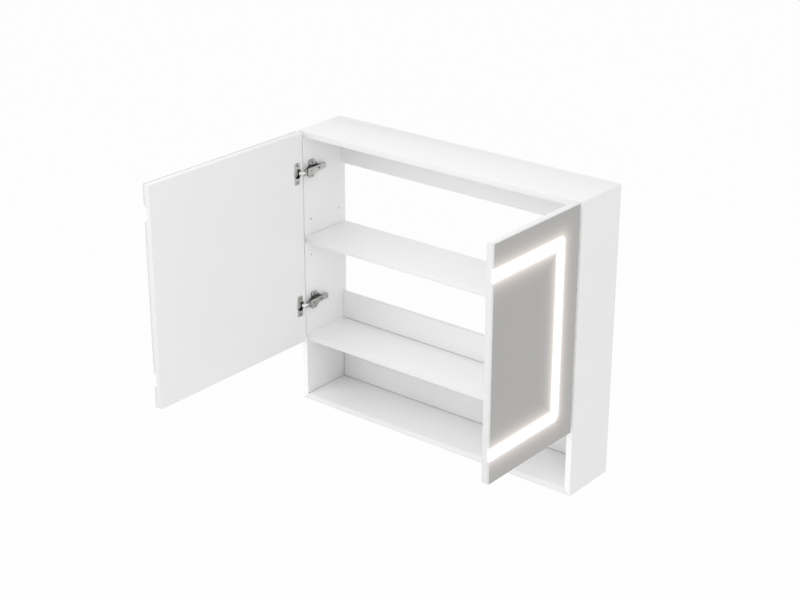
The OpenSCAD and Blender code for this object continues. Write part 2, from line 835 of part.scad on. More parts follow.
module hinge_cup() difference() {
  union() {
    translate([flange_shift, 0, 0]) upright(flange_t, flange_t)
      translate([-flange_w / 2, -flange_l / 2]) rounded_rect(flange_w, flange_l, flange_corner);
    y_rod(cup_r, -cup_d, cup_collar);
  }
  y_rod(cup_r - cup_wall, -cup_d + cup_wall, flange_t + over);
  translate([outer_cup_pin.x - cup_x, -outer_cup_pin.y, -cup_pin_end])
    cylinder(r = pivot_r, h = 2 * cup_pin_end);
  for (s = [-1, 1]) translate([flange_shift, 0, s * cup_screw_pitch / 2])
    y_rod(cup_screw_r + seat_gap, -over, flange_t + over);
}

// the closing damper, a thin case on the floor of the cup
module cup_damper() y_rod(cup_r - cup_wall - seat_gap, -cup_d + cup_wall, -cup_d + cup_wall + damper_t);

module cup_screws() cup_screw_places() difference() {
  union() {
    y_rod(cup_screw_r, -cup_screw_l, flange_t);
    y_rod(cup_screw_head_r, flange_t, flange_t + cup_screw_head_t);
  }
  rotate([0, 0, 90]) cross_recess(flange_t + cup_screw_head_t, cup_screw_head_r);
}

// a stub from each wall of the cup through one cheek of the outer link
module cup_pin() for (s = [0, 1]) mirror([0, 0, s])
  translate([outer_cup_pin.x - cup_x, -outer_cup_pin.y, cheek_in])
    cylinder(r = pivot_r, h = cup_pin_end - cheek_in);

// Doors, each piece placed on its own side

module left_door() open_door() children();

module right_door() right_hand() open_door() children();

module left_door_board() color(door_white) left_door() door_board(left_door_w);

module left_mirror_glass() color("lightsteelblue") left_door() mirror_glass(left_door_w);

module left_frosted_band() color("white") left_door() frosted_band(left_door_w);

module left_diffuser() color("ivory") left_door() diffuser(left_door_w);

module left_light_strip() color("gold") left_door() light_strip(left_door_w);

module left_driver() color("gainsboro") left_door() driver();

module left_leads() color("white") left_door() leads();

module left_lead_grommet() color("lightgray") left_door() lead_grommet();

module left_hinge_cups() color(nickel) left_door() cup_places() hinge_cup();

module left_cup_dampers() color("dimgray") left_door() cup_places() cup_damper();

module left_cup_screws() color(nickel) left_door() cup_screws();

module left_cup_pins() color("dimgray") left_door() cup_places() cup_pin();

module right_door_board() color(door_white) right_door() door_board(right_door_w);

module right_mirror_glass() color("lightsteelblue") right_door() mirror_glass(right_door_w);

module right_frosted_band() color("white") right_door() frosted_band(right_door_w);

module right_diffuser() color("ivory") right_door() diffuser(right_door_w);

module right_light_strip() color("gold") right_door() light_strip(right_door_w);

module right_driver() color("gainsboro") right_door() driver();

module right_leads() color("white") right_door() leads();

module right_lead_grommet() color("lightgray") right_door() lead_grommet();

module right_hinge_cups() color(nickel) right_door() cup_places() hinge_cup();

module right_cup_dampers() color("dimgray") right_door() cup_places() cup_damper();

module right_cup_screws() color(nickel) right_door() cup_screws();

module right_cup_pins() color("dimgray") right_door() cup_places() cup_pin();

placed() left_side_panel();
placed() right_side_panel();
placed() top_panel();
placed() bottom_panel();
placed() fixed_shelf();
placed() niche_back_panel();
placed() lower_back_rail();
placed() hanging_rail();
placed() adjustable_shelf();
placed() shelf_pins();
placed() joint_dowels();
placed() cam_bolts();
placed() cam_locks();
placed() keyhole_hangers();
placed() hanger_screws();
placed() mounting_plates();
placed() plate_screws();
placed() hinge_arms();
placed() side_adjusting_screws();
placed() arm_fixing_screws();
placed() arm_pivot_pins();
placed() lever_pins();
placed() left_lower_release_lever();
placed() left_upper_release_lever();
placed() right_lower_release_lever();
placed() right_upper_release_lever();
placed() left_outer_links();
placed() right_outer_links();
placed() left_inner_links();
placed() right_inner_links();
placed() left_link_pins();
placed() right_link_pins();
placed() left_door_board();
placed() left_mirror_glass();
placed() left_frosted_band();
placed() left_diffuser();
placed() left_light_strip();
placed() left_driver();
placed() left_leads();
placed() left_lead_grommet();
placed() left_hinge_cups();
placed() left_cup_dampers();
placed() left_cup_screws();
placed() left_cup_pins();
placed() right_door_board();
placed() right_mirror_glass();
placed() right_frosted_band();
placed() right_diffuser();
placed() right_light_strip();
placed() right_driver();
placed() right_leads();
placed() right_lead_grommet();
placed() right_hinge_cups();
placed() right_cup_dampers();
placed() right_cup_screws();
placed() right_cup_pins();
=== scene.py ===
# A wall-hung bathroom cabinet with two lit mirror doors, dressed around its fixed frame.
# Lengths are metres in the frame's own axes: x along the wall, y towards it, z up.
import json
import math

import bmesh
import bpy
from mathutils import Matrix, Vector

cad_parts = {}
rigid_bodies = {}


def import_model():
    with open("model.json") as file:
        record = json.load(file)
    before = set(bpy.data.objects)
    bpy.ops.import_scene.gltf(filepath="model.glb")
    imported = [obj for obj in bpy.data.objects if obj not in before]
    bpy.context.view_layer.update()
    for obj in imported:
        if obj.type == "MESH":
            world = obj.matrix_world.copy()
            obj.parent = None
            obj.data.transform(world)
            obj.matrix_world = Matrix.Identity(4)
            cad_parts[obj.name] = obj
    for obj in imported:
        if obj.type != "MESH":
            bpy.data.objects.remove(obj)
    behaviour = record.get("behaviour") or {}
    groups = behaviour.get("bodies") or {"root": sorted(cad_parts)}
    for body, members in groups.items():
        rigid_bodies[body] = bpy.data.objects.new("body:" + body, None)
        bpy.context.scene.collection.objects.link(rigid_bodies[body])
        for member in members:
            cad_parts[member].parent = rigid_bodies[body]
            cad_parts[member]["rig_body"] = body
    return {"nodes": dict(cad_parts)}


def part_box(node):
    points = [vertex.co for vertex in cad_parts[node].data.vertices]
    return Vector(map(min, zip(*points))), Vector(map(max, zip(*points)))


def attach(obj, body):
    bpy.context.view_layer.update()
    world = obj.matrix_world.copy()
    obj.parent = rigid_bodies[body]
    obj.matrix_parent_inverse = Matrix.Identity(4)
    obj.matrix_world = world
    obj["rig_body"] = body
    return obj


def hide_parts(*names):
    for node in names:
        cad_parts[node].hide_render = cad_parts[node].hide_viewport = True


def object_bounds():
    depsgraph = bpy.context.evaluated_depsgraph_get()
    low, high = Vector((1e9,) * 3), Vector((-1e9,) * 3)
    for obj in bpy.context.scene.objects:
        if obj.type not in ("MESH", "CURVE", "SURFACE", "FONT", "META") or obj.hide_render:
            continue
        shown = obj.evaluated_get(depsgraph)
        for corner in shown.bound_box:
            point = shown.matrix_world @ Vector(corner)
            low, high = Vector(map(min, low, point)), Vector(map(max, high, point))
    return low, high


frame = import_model()
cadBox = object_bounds()
mm = 0.001
sides = ("left", "right")
print("frame loaded:", len(frame["nodes"]), "nodes")

# Camera

cameraSetting = {
    "place": (2.2252, -3.0160, 1.2752),
    "azimuth": 38.934,
    "elevation": 22.903,
    "roll": 0.10,
    "lens": 77.22,
    "sensor": 36.0,
}


# a matrix that stands at the place and looks along the way
def lookAlong(place, way):
    turn = way.to_track_quat("-Z", "Y").to_matrix().to_4x4()
    return Matrix.Translation(place) @ turn


def makeCamera(setting):
    data = bpy.data.cameras.new("camera")
    data.lens = setting["lens"]
    data.sensor_width = setting["sensor"]
    camera = bpy.data.objects.new("camera", data)
    azimuth = math.radians(setting["azimuth"])
    elevation = math.radians(setting["elevation"])
    way = Vector((
        -math.sin(azimuth) * math.cos(elevation),
        math.cos(azimuth) * math.cos(elevation),
        -math.sin(elevation),
    ))
    roll = Matrix.Rotation(math.radians(setting["roll"]), 4, "Z")
    camera.matrix_world = lookAlong(setting["place"], way) @ roll
    bpy.context.scene.collection.objects.link(camera)
    bpy.context.scene.camera = camera


makeCamera(cameraSetting)
bpy.context.scene.view_settings.view_transform = "Standard"
print("camera placed")

# Node graphs


# one output of a node; the operators add Math nodes
class Wire:
    def __init__(self, graph, socket):
        self.graph = graph
        self.socket = socket

    def math(self, operation, *others):
        values = dict(enumerate((self, *others)))
        return self.graph.add("ShaderNodeMath", {"operation": operation}, values)

    def __add__(self, other):
        return self.math("ADD", other)

    def __sub__(self, other):
        return self.math("SUBTRACT", other)

    def __rsub__(self, other):
        return self.graph.add("ShaderNodeMath", {"operation": "SUBTRACT"}, {0: other, 1: self})

    def __mul__(self, other):
        return self.math("MULTIPLY", other)

    def __truediv__(self, other):
        return self.math("DIVIDE", other)

    def __rtruediv__(self, other):
        return self.graph.add("ShaderNodeMath", {"operation": "DIVIDE"}, {0: other, 1: self})

    def __abs__(self):
        return self.math("ABSOLUTE")

    __radd__ = __add__
    __rmul__ = __mul__


class Graph:
    def __init__(self, tree):
        self.tree = tree

    # any node: its settings first, then the values or links of its sockets
    def add(self, kind, setting=None, sockets=None, out=0):
        node = self.tree.nodes.new(kind)
        for name, value in (setting or {}).items():
            setattr(node, name, value)
        for key, value in (sockets or {}).items():
            if isinstance(value, Wire):
                self.tree.links.new(value.socket, node.inputs[key])
            else:
                node.inputs[key].default_value = value
        return Wire(self, node.outputs[out]) if node.outputs else None

    def mixColour(self, factor, first, second):
        first = first if isinstance(first, Wire) else (*first, 1)
        second = second if isinstance(second, Wire) else (*second, 1)
        return self.add("ShaderNodeMix", {"data_type": "RGBA"}, {0: factor, 6: first, 7: second}, 2)

    def scaleColour(self, colour, amount):
        return self.mixColour(amount, (0, 0, 0), colour)

    # Object coordinates
    def place(self):
        return self.add("ShaderNodeTexCoord", out="Object")

    # the three numbers of a vector
    def axes(self, vector):
        parted = self.add("ShaderNodeSeparateXYZ", {}, {0: vector}).socket.node
        return [Wire(self, socket) for socket in parted.outputs]

    def vector(self, x, y, z):
        return self.add("ShaderNodeCombineXYZ", {}, {0: x, 1: y, 2: z})

    def noise(self, scale, detail, rough=0.5, vector=None):
        sockets = {"Vector": vector or self.place(), "Scale": scale, "Detail": detail, "Roughness": rough}
        return self.add("ShaderNodeTexNoise", {"noise_dimensions": "3D"}, sockets)

    def between(self, value, low, high, start=0.0, end=1.0):
        sockets = {0: value, 1: low, 2: high, 3: start, 4: end}
        return self.add("ShaderNodeMapRange", {"clamp": True}, sockets)

    def join(self, *shapes):
        joined = self.add("GeometryNodeJoinGeometry")
        for shape in shapes:
            self.tree.links.new(shape.socket, joined.socket.node.inputs[0])
        return joined

    # a shape moved along z
    def lift(self, shape, z):
        sockets = {0: shape, "Translation": self.vector(0.0, 0.0, z)}
        return self.add("GeometryNodeTransform", {}, sockets)


materials = {}


def emptyMaterial(name):
    material = bpy.data.materials.new(name)
    material.use_nodes = True
    material.node_tree.nodes.clear()
    return material


# a material whose shader's fixed numbers are set on its own sockets
def newMaterial(name, fixed):
    materials[name] = emptyMaterial(name)
    graph = Graph(materials[name].node_tree)
    shader = graph.add("ShaderNodeBsdfPrincipled", {}, fixed)
    graph.add("ShaderNodeOutputMaterial", {}, {"Surface": shader})
    graph.shader = shader.socket.node
    return graph


def feed(graph, name, wire):
    graph.tree.links.new(wire.socket, graph.shader.inputs[name])


def feedBump(graph, height, setting):
    sockets = {"Height": height, "Strength": setting["bump"], "Distance": setting["bumpDepth"]}
    feed(graph, "Normal", graph.add("ShaderNodeBump", {}, sockets))


# noise gathers round its middle, so these limits are stretched to the whole range from 0 to 1
cloudRange = (0.35, 0.65)
grainRange = (0.3, 0.7)


# roughness that swings between two levels with the noise
def feedSwing(graph, noise, setting):
    low, high = [setting["roughness"] + step for step in setting["swing"]]
    feed(graph, "Roughness", graph.between(noise, *grainRange, low, high))


# roughness that rises from its setting with the noise
def feedUneven(graph, noise, setting):
    feed(graph, "Roughness", noise * setting["uneven"] + setting["roughness"])


# the shade and the main colour in soft patches
def twoTone(graph, noise, limits, setting):
    return graph.mixColour(graph.between(noise, *limits), setting["shade"], setting["colour"])


# Stage

stageSetting = {
    "floorDrop": 1.22,
    "floorHalf": 40.0,
    "floorColour": (0.97, 0.97, 0.97),
    "whiteShare": 0.94,
    "worldHeights": (-0.2, 1.0),
    "worldLevels": (0.75, 0.765),
}


# the share of white where the camera, a gloss or a glass looks, and the given shader elsewhere
def whiteWhereSeen(graph, shader, kind, share):
    path = "ShaderNodeLightPath"
    seen = graph.add(path, out="Is Camera Ray") + graph.add(path, out="Is Glossy Ray")
    seen = seen + graph.add(path, out="Is Transmission Ray")
    white = graph.add(kind, {}, {"Color": (1, 1, 1, 1), "Strength": 1.0})
    return graph.add("ShaderNodeMixShader", {}, {0: seen * share, 1: shader, 2: white})


def makeFloor(setting):
    half = setting["floorHalf"]
    level = cadBox[0].z - setting["floorDrop"]
    mesh = bpy.data.meshes.new("floor")
    corners = [(-half, -half, level), (half, -half, level), (half, half, level), (-half, half, level)]
    mesh.from_pydata(corners, [], [(0, 1, 2, 3)])
    floor = bpy.data.objects.new("floor", mesh)
    material = emptyMaterial("floorPaint")
    graph = Graph(material.node_tree)
    paint = graph.add("ShaderNodeBsdfDiffuse", {}, {"Color": (*setting["floorColour"], 1)})
    surface = whiteWhereSeen(graph, paint, "ShaderNodeEmission", setting["whiteShare"])
    graph.add("ShaderNodeOutputMaterial", {}, {"Surface": surface})
    mesh.materials.append(material)
    bpy.context.scene.collection.objects.link(floor)


def makeWorld(setting):
    world = bpy.data.worlds.new("studio")
    bpy.context.scene.world = world
    world.use_nodes = True
    world.node_tree.nodes.clear()
    graph = Graph(world.node_tree)
    up = graph.axes(graph.add("ShaderNodeTexCoord", out="Generated"))[2]
    level = graph.between(up, *setting["worldHeights"], *setting["worldLevels"])
    soft = graph.add("ShaderNodeBackground", {}, {"Color": (1, 1, 1, 1), "Strength": level})
    surface = whiteWhereSeen(graph, soft, "ShaderNodeBackground", 1.0)
    graph.add("ShaderNodeOutputWorld", {}, {"Surface": surface})


lampSetting = {
    "rightSoftbox": {"place": (2.0, -2.4, 2.2), "aim": (0.0, -0.1, -0.25), "size": 2.4, "watts": 24.5},
    "lowSoftbox": {"place": (-0.9, -2.6, -0.35), "aim": (0.0, 0.0, -0.55), "size": 1.4, "watts": 6.5},
    "leftSoftbox": {"place": (-1.4, -2.8, 2.2), "aim": (0.0, -0.1, -0.25), "size": 2.4, "watts": 30.0},
}


def makeLamp(name, setting):
    data = bpy.data.lights.new(name, "AREA")
    data.shape = "SQUARE"
    data.size = setting["size"]
    data.energy = setting["watts"]
    lamp = bpy.data.objects.new(name, data)
    way = Vector(setting["aim"]) - Vector(setting["place"])
    lamp.matrix_world = lookAlong(setting["place"], way)
    lamp.visible_glossy = False
    bpy.context.scene.collection.objects.link(lamp)


makeFloor(stageSetting)
makeWorld(stageSetting)
for name, setting in lampSetting.items():
    makeLamp(name, setting)
print("stage lit")

# Board finishes

whiteSetting = {
    "colour": (0.925, 0.925, 0.925),
    "shade": (0.913, 0.914, 0.915),
    "roughness": 0.42,
    "swing": (-0.05, 0.05),
    "ior": 1.45,
    "cloud": 7.0,
    "grain": 1400.0,
    "bump": 0.12,
    "bumpDepth": 0.05 * mm,
    "bandDepth": 0.8 * mm,
    "seamHalf": 0.09 * mm,
    "seamColour": (0.52, 0.52, 0.52),
    "seamShare": 0.6,
    "cornerShadeHalf": 0.5 * mm,
    "cornerShadeColour": (0.42, 0.42, 0.42),
}
# painted shade: the back boards, which face the front, are a darker white that stands in for less light on
# them
backShadeSetting = {**whiteSetting, "colour": (0.862, 0.862, 0.862), "shade": (0.853, 0.854, 0.855)}
laminateSetting = {
    "whiteLaminate": whiteSetting,
    "backShadeLaminate": backShadeSetting,
    # the hanging rail also gets a wider line of painted corner shade at its ends
    "railShadeLaminate": {**backShadeSetting, "cornerShadeHalf": 2.2 * mm, "cornerShadeColour": (0.5, 0.5, 0.5)},
    # the edge strips' darker white is painted shade on the front faces
    "frontShadeStrip": {**whiteSetting, "colour": (0.82, 0.82, 0.82), "shade": (0.814, 0.814, 0.814)},
}


# 1 along the inner corners, where the mitred boards meet, for a dark joint line widened with painted corner
# shade
def cornerShadeLine(graph, half):
    x, z = graph.axes(graph.place())[::2]
    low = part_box("bottom_panel")
    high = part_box("top_panel")
    thick = low[1].z - low[0].z
    besideX = abs(abs(x) - (low[1].x - thick))
    besideZ = abs(abs(z - (low[0].z + high[1].z) / 2) - ((high[1].z - low[0].z) / 2 - thick))
    return besideX.math("MAXIMUM", besideZ).math("LESS_THAN", half)


# white melamine: faint clouds, a fine pebble, the edge strip's joint line and, at the mitres, a dark joint
# line with painted corner shade
def makeLaminate(name, setting):
    graph = newMaterial(name, {"IOR": setting["ior"]})
    cloud = graph.noise(setting["cloud"], detail=3.0)
    pebble = graph.noise(setting["grain"], detail=1.0)
    y = graph.axes(graph.place())[1]
    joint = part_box("left_side_panel")[0].y + setting["bandDepth"]
    seam = abs(y - joint).math("LESS_THAN", setting["seamHalf"])
    body = twoTone(graph, cloud, cloudRange, setting)
    body = graph.mixColour(seam * setting["seamShare"], body, setting["seamColour"])
    body = graph.mixColour(cornerShadeLine(graph, setting["cornerShadeHalf"]), body, setting["cornerShadeColour"])
    feed(graph, "Base Color", body)
    feedSwing(graph, pebble, setting)
    feedBump(graph, pebble, setting)


for name, setting in laminateSetting.items():
    makeLaminate(name, setting)

# Doors, mirrors and their lit bands

doorPaintSetting = {
    "colour": (0.915, 0.915, 0.915),
    "shade": (0.903, 0.904, 0.905),
    "freeShade": (0.76, 0.76, 0.76),
    "freeDepth": 0.4 * mm,
    "roughness": 0.34,
    "swing": (-0.03, 0.03),
    "ior": 1.47,
    "cloud": 5.0,
    "ripple": 260.0,
    "bump": 0.06,
    "bumpDepth": 0.05 * mm,
}

haloSetting = {
    "colour": (1.20, 1.0, 0.89),
    "strength": 0.44,
    "fade": 12.3 * mm,
    "rimStrength": 0.45,
    "rimFade": 1.6 * mm,
    "edgeStrength": 0.22,
    "edgeFade": 4.0 * mm,
    "endStrength": 0.8,
}

chipPitch = 16.67 * mm
bandSetting = {
    "margin": 50 * mm,
    "width": 33.5 * mm,
    "corner": 20 * mm,
    "openReach": 1.0,
    "outerSoft": 5.0 * mm,
    "innerSoft": 1.8 * mm,
    "softLevel": 0.16,
    "colour": (1.0, 0.992, 0.975),
    "dim": (0.965, 0.962, 0.955),
    "gritDark": (0.30, 0.30, 0.30),
    "gritPale": (0.34, 0.34, 0.34),
    "grain": 1800.0,
    "roughness": 0.7,
    "bump": 0.3,
    "bumpDepth": 0.02 * mm,
}


# distance from the band's bright core, 0 on it: a rounded frame that is open at the free edge
def bandDistance(graph, glass, setting):
    low, high = glass
    y, z = graph.axes(graph.place())[1:]
    half = setting["width"] / 2
    inset = setting["margin"] + half
    hingeSide = high.y - inset
    farSide = low.y - setting["openReach"]
    middleY = (hingeSide + farSide) / 2
    middleZ = (low.z + high.z) / 2
    corner = setting["corner"] - half
    alongY = abs(y - middleY) - ((hingeSide - farSide) / 2 - corner)
    alongZ = abs(z - middleZ) - ((high.z - low.z) / 2 - inset - corner)
    outY = alongY.math("MAXIMUM", 0.0)
    outZ = alongZ.math("MAXIMUM", 0.0)
    outside = (outY * outY + outZ * outZ).math("SQRT")
    inside = alongY.math("MAXIMUM", alongZ).math("MINIMUM", 0.0)
    across = outside + inside - corner
    outer = across - (half - setting["outerSoft"])
    inner = across * -1.0 - (half - setting["innerSoft"])
    return outer.math("MAXIMUM", inner).math("MAXIMUM", 0.0)


# how strongly the band's light shows beside it
def glow(graph, distance, fade):
    return (distance * (-1.0 / fade)).math("EXPONENT")


# the light beside the core: a wide soft part and a narrow bright one
def haloLight(graph, glass, halo, band):
    beside = bandDistance(graph, glass, band)
    wide = glow(graph, beside, halo["fade"]) * halo["strength"]
    return wide + glow(graph, beside, halo["rimFade"]) * halo["rimStrength"]


# sprayed door board: smoother than the carcass, with painted shade on its free edge and painted light beside
# the band's open ends
def makeDoorPaint(name, glass, setting, halo, band):
    graph = newMaterial(name, {"IOR": setting["ior"], "Emission Strength": 1.0})
    cloud = graph.noise(setting["cloud"], detail=3.0)
    ripple = graph.noise(setting["ripple"], detail=2.0)
    body = twoTone(graph, cloud, cloudRange, setting)
    x, y = graph.axes(graph.place())[:2]
    free = (y - glass[0].y).math("LESS_THAN", setting["freeDepth"])
    # painted shade on the free edge
    feed(graph, "Base Color", graph.mixColour(free, body, setting["freeShade"]))
    feedSwing(graph, cloud, setting)
    mirrorFace = glass[0].x if glass[0].x < 0 else glass[1].x
    beside = bandDistance(graph, glass, band)
    light = glow(graph, beside, halo["edgeFade"]) * glow(graph, abs(x - mirrorFace), halo["edgeFade"])
    light = light * free * halo["edgeStrength"]
    feed(graph, "Emission Color", graph.scaleColour(halo["colour"], light))
    feedBump(graph, ripple, setting)


mirrorSetting = {
    # a dim grey: painted reflection of darker surroundings
    "colour": (0.416, 0.411, 0.401),
    "haze": (0.422, 0.417, 0.407),
    "hazeRange": (0.4, 0.7),
    "cloud": 9.0,
    "roughness": 0.02,
    "uneven": 0.012,
}


# glass silvered with a dim grey, which is painted reflection standing in for darker surroundings, with the
# band's light painted spilling into it
def makeMirror(name, glass, setting, halo, band):
    graph = newMaterial(name, {"Metallic": 1.0, "Emission Strength": 1.0})
    haze = graph.between(graph.noise(setting["cloud"], detail=4.0), *setting["hazeRange"])
    feed(graph, "Base Color", graph.mixColour(haze, setting["colour"], setting["haze"]))
    feedUneven(graph, haze, setting)
    light = haloLight(graph, glass, halo, band)
    feed(graph, "Emission Color", graph.scaleColour(halo["colour"], light))


# sandblasted glass lit from behind, with the faint beat of the light chips
def makeBand(name, glass, setting, halo):
    graph = newMaterial(name, {"Roughness": setting["roughness"], "Emission Strength": 1.0})
    y, z = graph.axes(graph.place())[1:]
    wave = 2 * math.pi / chipPitch
    beat = (y * wave).math("COSINE") * (z * wave).math("COSINE")
    grit = graph.noise(setting["grain"], detail=1.0)
    feed(graph, "Base Color", graph.mixColour(grit, setting["gritDark"], setting["gritPale"]))
    tint = graph.mixColour(beat * 0.5 + 0.5, setting["dim"], setting["colour"])
    level = haloLight(graph, glass, halo, setting) + setting["softLevel"]
    feed(graph, "Emission Color", graph.scaleColour(tint, level))
    feedBump(graph, grit, setting)


glassEdgeSetting = {
    "colour": (0.71, 0.725, 0.718),
    "shade": (0.64, 0.66, 0.65),
    "freeDepth": 1 * mm,
    "grain": 700.0,
    "roughness": 0.3,
    "uneven": 0.2,
    "ior": 1.5,
    "bump": 0.2,
    "bumpDepth": 0.03 * mm,
}


# the ground rim of the glass, bright where the band runs out at the free edge
def makeGlassEdge(name, glass, setting, halo, band):
    graph = newMaterial(name, {"IOR": setting["ior"], "Emission Strength": 1.0})
    streak = graph.noise(setting["grain"], detail=2.0)
    feed(graph, "Base Color", graph.mixColour(streak, setting["shade"], setting["colour"]))
    feedUneven(graph, streak, setting)
    y = graph.axes(graph.place())[1]
    free = (y - glass[0].y).math("LESS_THAN", setting["freeDepth"])
    light = glow(graph, bandDistance(graph, glass, band), halo["rimFade"]) * free
    feed(graph, "Emission Color", graph.scaleColour(halo["colour"], light * halo["endStrength"]))
    feedBump(graph, streak, setting)


for side in sides:
    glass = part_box(side + "_mirror_glass")
    makeDoorPaint(side + "DoorPaint", glass, doorPaintSetting, haloSetting, bandSetting)
    makeMirror(side + "Mirror", glass, mirrorSetting, haloSetting, bandSetting)
    makeBand(side + "LitGlass", glass, bandSetting, haloSetting)
    makeGlassEdge(side + "GlassEdge", glass, glassEdgeSetting, haloSetting, bandSetting)

# Metal, plastic and wood

# the links get painted shade in their cups, from just before the door board's inner face on
cupLip = 0.8 * mm
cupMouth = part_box("right_door_board")[0].x - cupLip
metalFinish = {
    "patchSize": 20,
    "swing": (-0.06, 0.08),
    "bump": 0.08,
    "bumpDepth": 0.02 * mm,
}
metalSetting = {
    "nickel": {
        "colour": (0.52, 0.52, 0.50), "shade": (0.47, 0.47, 0.455),
        "roughness": 0.22, "grain": 2400.0,
    },
    "linkNickel": {
        "colour": (0.84, 0.84, 0.82), "shade": (0.79, 0.79, 0.77),
        "roughness": 0.3, "grain": 2600.0, "shadeBeyond": cupMouth,
    },
    "screwSteel": {
        "colour": (0.40, 0.40, 0.39), "shade": (0.33, 0.33, 0.32),
        "roughness": 0.28, "grain": 2000.0,
    },
    # painted shade and painted dark reflection: a near-black finish for recesses, folds, rims and flanks
    "paintedShadeSteel": {
        "colour": (0.05, 0.05, 0.048), "shade": (0.03, 0.03, 0.029),
        "roughness": 0.4, "grain": 1100.0,
    },
    "pivotSteel": {
        "colour": (0.30, 0.30, 0.30), "shade": (0.20, 0.20, 0.20),
        "roughness": 0.32, "grain": 1500.0,
    },
    "castZinc": {
        "colour": (0.46, 0.47, 0.48), "shade": (0.36, 0.37, 0.38),
        "roughness": 0.45, "grain": 700.0,
    },
}


def makeMetal(name, setting):
    graph = newMaterial(name, {"Metallic": 1.0})
    grain = graph.noise(setting["grain"], detail=3.0)
    patch = graph.noise(setting["grain"] / setting["patchSize"], detail=2.0)
    body = twoTone(graph, patch, cloudRange, setting)
    # painted shade on the link ends that lie in the cup
    if "shadeBeyond" in setting:
        inCup = abs(graph.axes(graph.place())[0]).math("GREATER_THAN", setting["shadeBeyond"])
        body = graph.mixColour(inCup, body, metalSetting["paintedShadeSteel"]["shade"])
    feed(graph, "Base Color", body)
    feedSwing(graph, grain, setting)
    feedBump(graph, grain, setting)


plasticFinish = {
    "ior": 1.46,
    "uneven": 0.15,
    "bump": 0.2,
    "bumpDepth": 0.03 * mm,
}
plasticSetting = {
    "damperPlastic": {
        "colour": (0.93, 0.93, 0.91), "shade": (0.88, 0.88, 0.86),
        "roughness": 0.5, "grain": 1100.0,
    },
    "grommetRubber": {
        "colour": (0.62, 0.62, 0.62), "shade": (0.55, 0.55, 0.55),
        "roughness": 0.6, "grain": 1600.0,
    },
    "leadSheath": {
        "colour": (0.72, 0.72, 0.71), "shade": (0.66, 0.66, 0.65),
        "roughness": 0.45, "grain": 1300.0,
    },
    "driverCase": {
        "colour": (0.80, 0.80, 0.79), "shade": (0.74, 0.74, 0.73),
        "roughness": 0.5, "grain": 1200.0,
    },
    "opalDiffuser": {
        "colour": (0.86, 0.86, 0.84), "shade": (0.83, 0.83, 0.81),
        "roughness": 0.35, "grain": 500.0,
    },
    "stripTape": {
        "colour": (0.78, 0.78, 0.76), "shade": (0.70, 0.70, 0.68),
        "roughness": 0.4, "grain": 900.0,
    },
    "lightChip": {
        "colour": (0.85, 0.72, 0.30), "shade": (0.80, 0.66, 0.24),
        "roughness": 0.3, "grain": 2500.0,
    },
}


def makePlastic(name, setting):
    graph = newMaterial(name, {"IOR": setting["ior"]})
    grain = graph.noise(setting["grain"], detail=2.0)
    feed(graph, "Base Color", twoTone(graph, grain, grainRange, setting))
    feedUneven(graph, grain, setting)
    feedBump(graph, grain, setting)


# the raw edges of the back boards, coloured near black as painted shade in each joint, seen only as a thin
# line there
jointShadeSetting = {
    "colour": (0.20, 0.19, 0.18),
    "shade": (0.13, 0.125, 0.12),
    "grain": 800.0,
    "roughness": 0.85,
    "uneven": 0.1,
    "ior": 1.3,
    "bump": 0.5,
    "bumpDepth": 0.1 * mm,
}


def makeJointShade(setting):
    graph = newMaterial("jointShade", {"IOR": setting["ior"]})
    chip = graph.noise(setting["grain"], detail=3.0, rough=0.7)
    feed(graph, "Base Color", twoTone(graph, chip, cloudRange, setting))
    feedUneven(graph, chip, setting)
    feedBump(graph, chip, setting)


beechSetting = {
    "colour": (0.66, 0.46, 0.27),
    "shade": (0.52, 0.34, 0.18),
    "fibre": (60, 900, 900),
    "roughness": 0.6,
    "uneven": 0.2,
    "ior": 1.4,
    "bump": 0.3,
    "bumpDepth": 0.05 * mm,
}


# the grain runs along the dowels, which lie along x
def makeBeech(setting):
    graph = newMaterial("beech", {"IOR": setting["ior"]})
    sockets = {"Vector": graph.place(), "Scale": setting["fibre"]}
    stretched = graph.add("ShaderNodeMapping", {}, sockets)
    fibre = graph.noise(1.0, detail=3.0, rough=0.6, vector=stretched)
    feed(graph, "Base Color", twoTone(graph, fibre, cloudRange, setting))
    feedUneven(graph, fibre, setting)
    feedBump(graph, fibre, setting)


for name, setting in metalSetting.items():
    makeMetal(name, {**metalFinish, **setting})
for name, setting in plasticSetting.items():
    makePlastic(name, {**plasticFinish, **setting})
makeBeech(beechSetting)
makeJointShade(jointShadeSetting)
print("materials made:", len(materials))

# Shapes

# corners nearer than merge become one, and so do faces that meet at less than flat degrees;
# an edge is rounded where it turns by over roundFrom degrees and is longer than bevels roundings
meshSetting = {
    "merge": 0.002 * mm,
    "flat": 0.6,
    "roundFrom": 28,
    "bevels": 2.2,
}


# the node's solids with merged corners and whole flat faces
def solidCopy(node):
    work = bmesh.new()
    work.from_mesh(frame["nodes"][node].data)
    bmesh.ops.remove_doubles(work, verts=work.verts, dist=meshSetting["merge"])
    flat = math.radians(meshSetting["flat"])
    bmesh.ops.dissolve_limit(work, angle_limit=flat, verts=work.verts, edges=work.edges)
    return work


def newObject(name, mesh):
    thing = bpy.data.objects.new(name, mesh)
    bpy.context.scene.collection.objects.link(thing)
    return thing


# the plain mesh that an object's modifiers make, in an object of its own
def settle(thing, name):
    bpy.context.view_layer.update()
    shape = thing.evaluated_get(bpy.context.evaluated_depsgraph_get())
    mesh = bpy.data.meshes.new_from_object(shape)
    mesh.name = name
    old = thing.data
    bpy.data.objects.remove(thing)
    bpy.data.meshes.remove(old)
    return newObject(name, mesh)


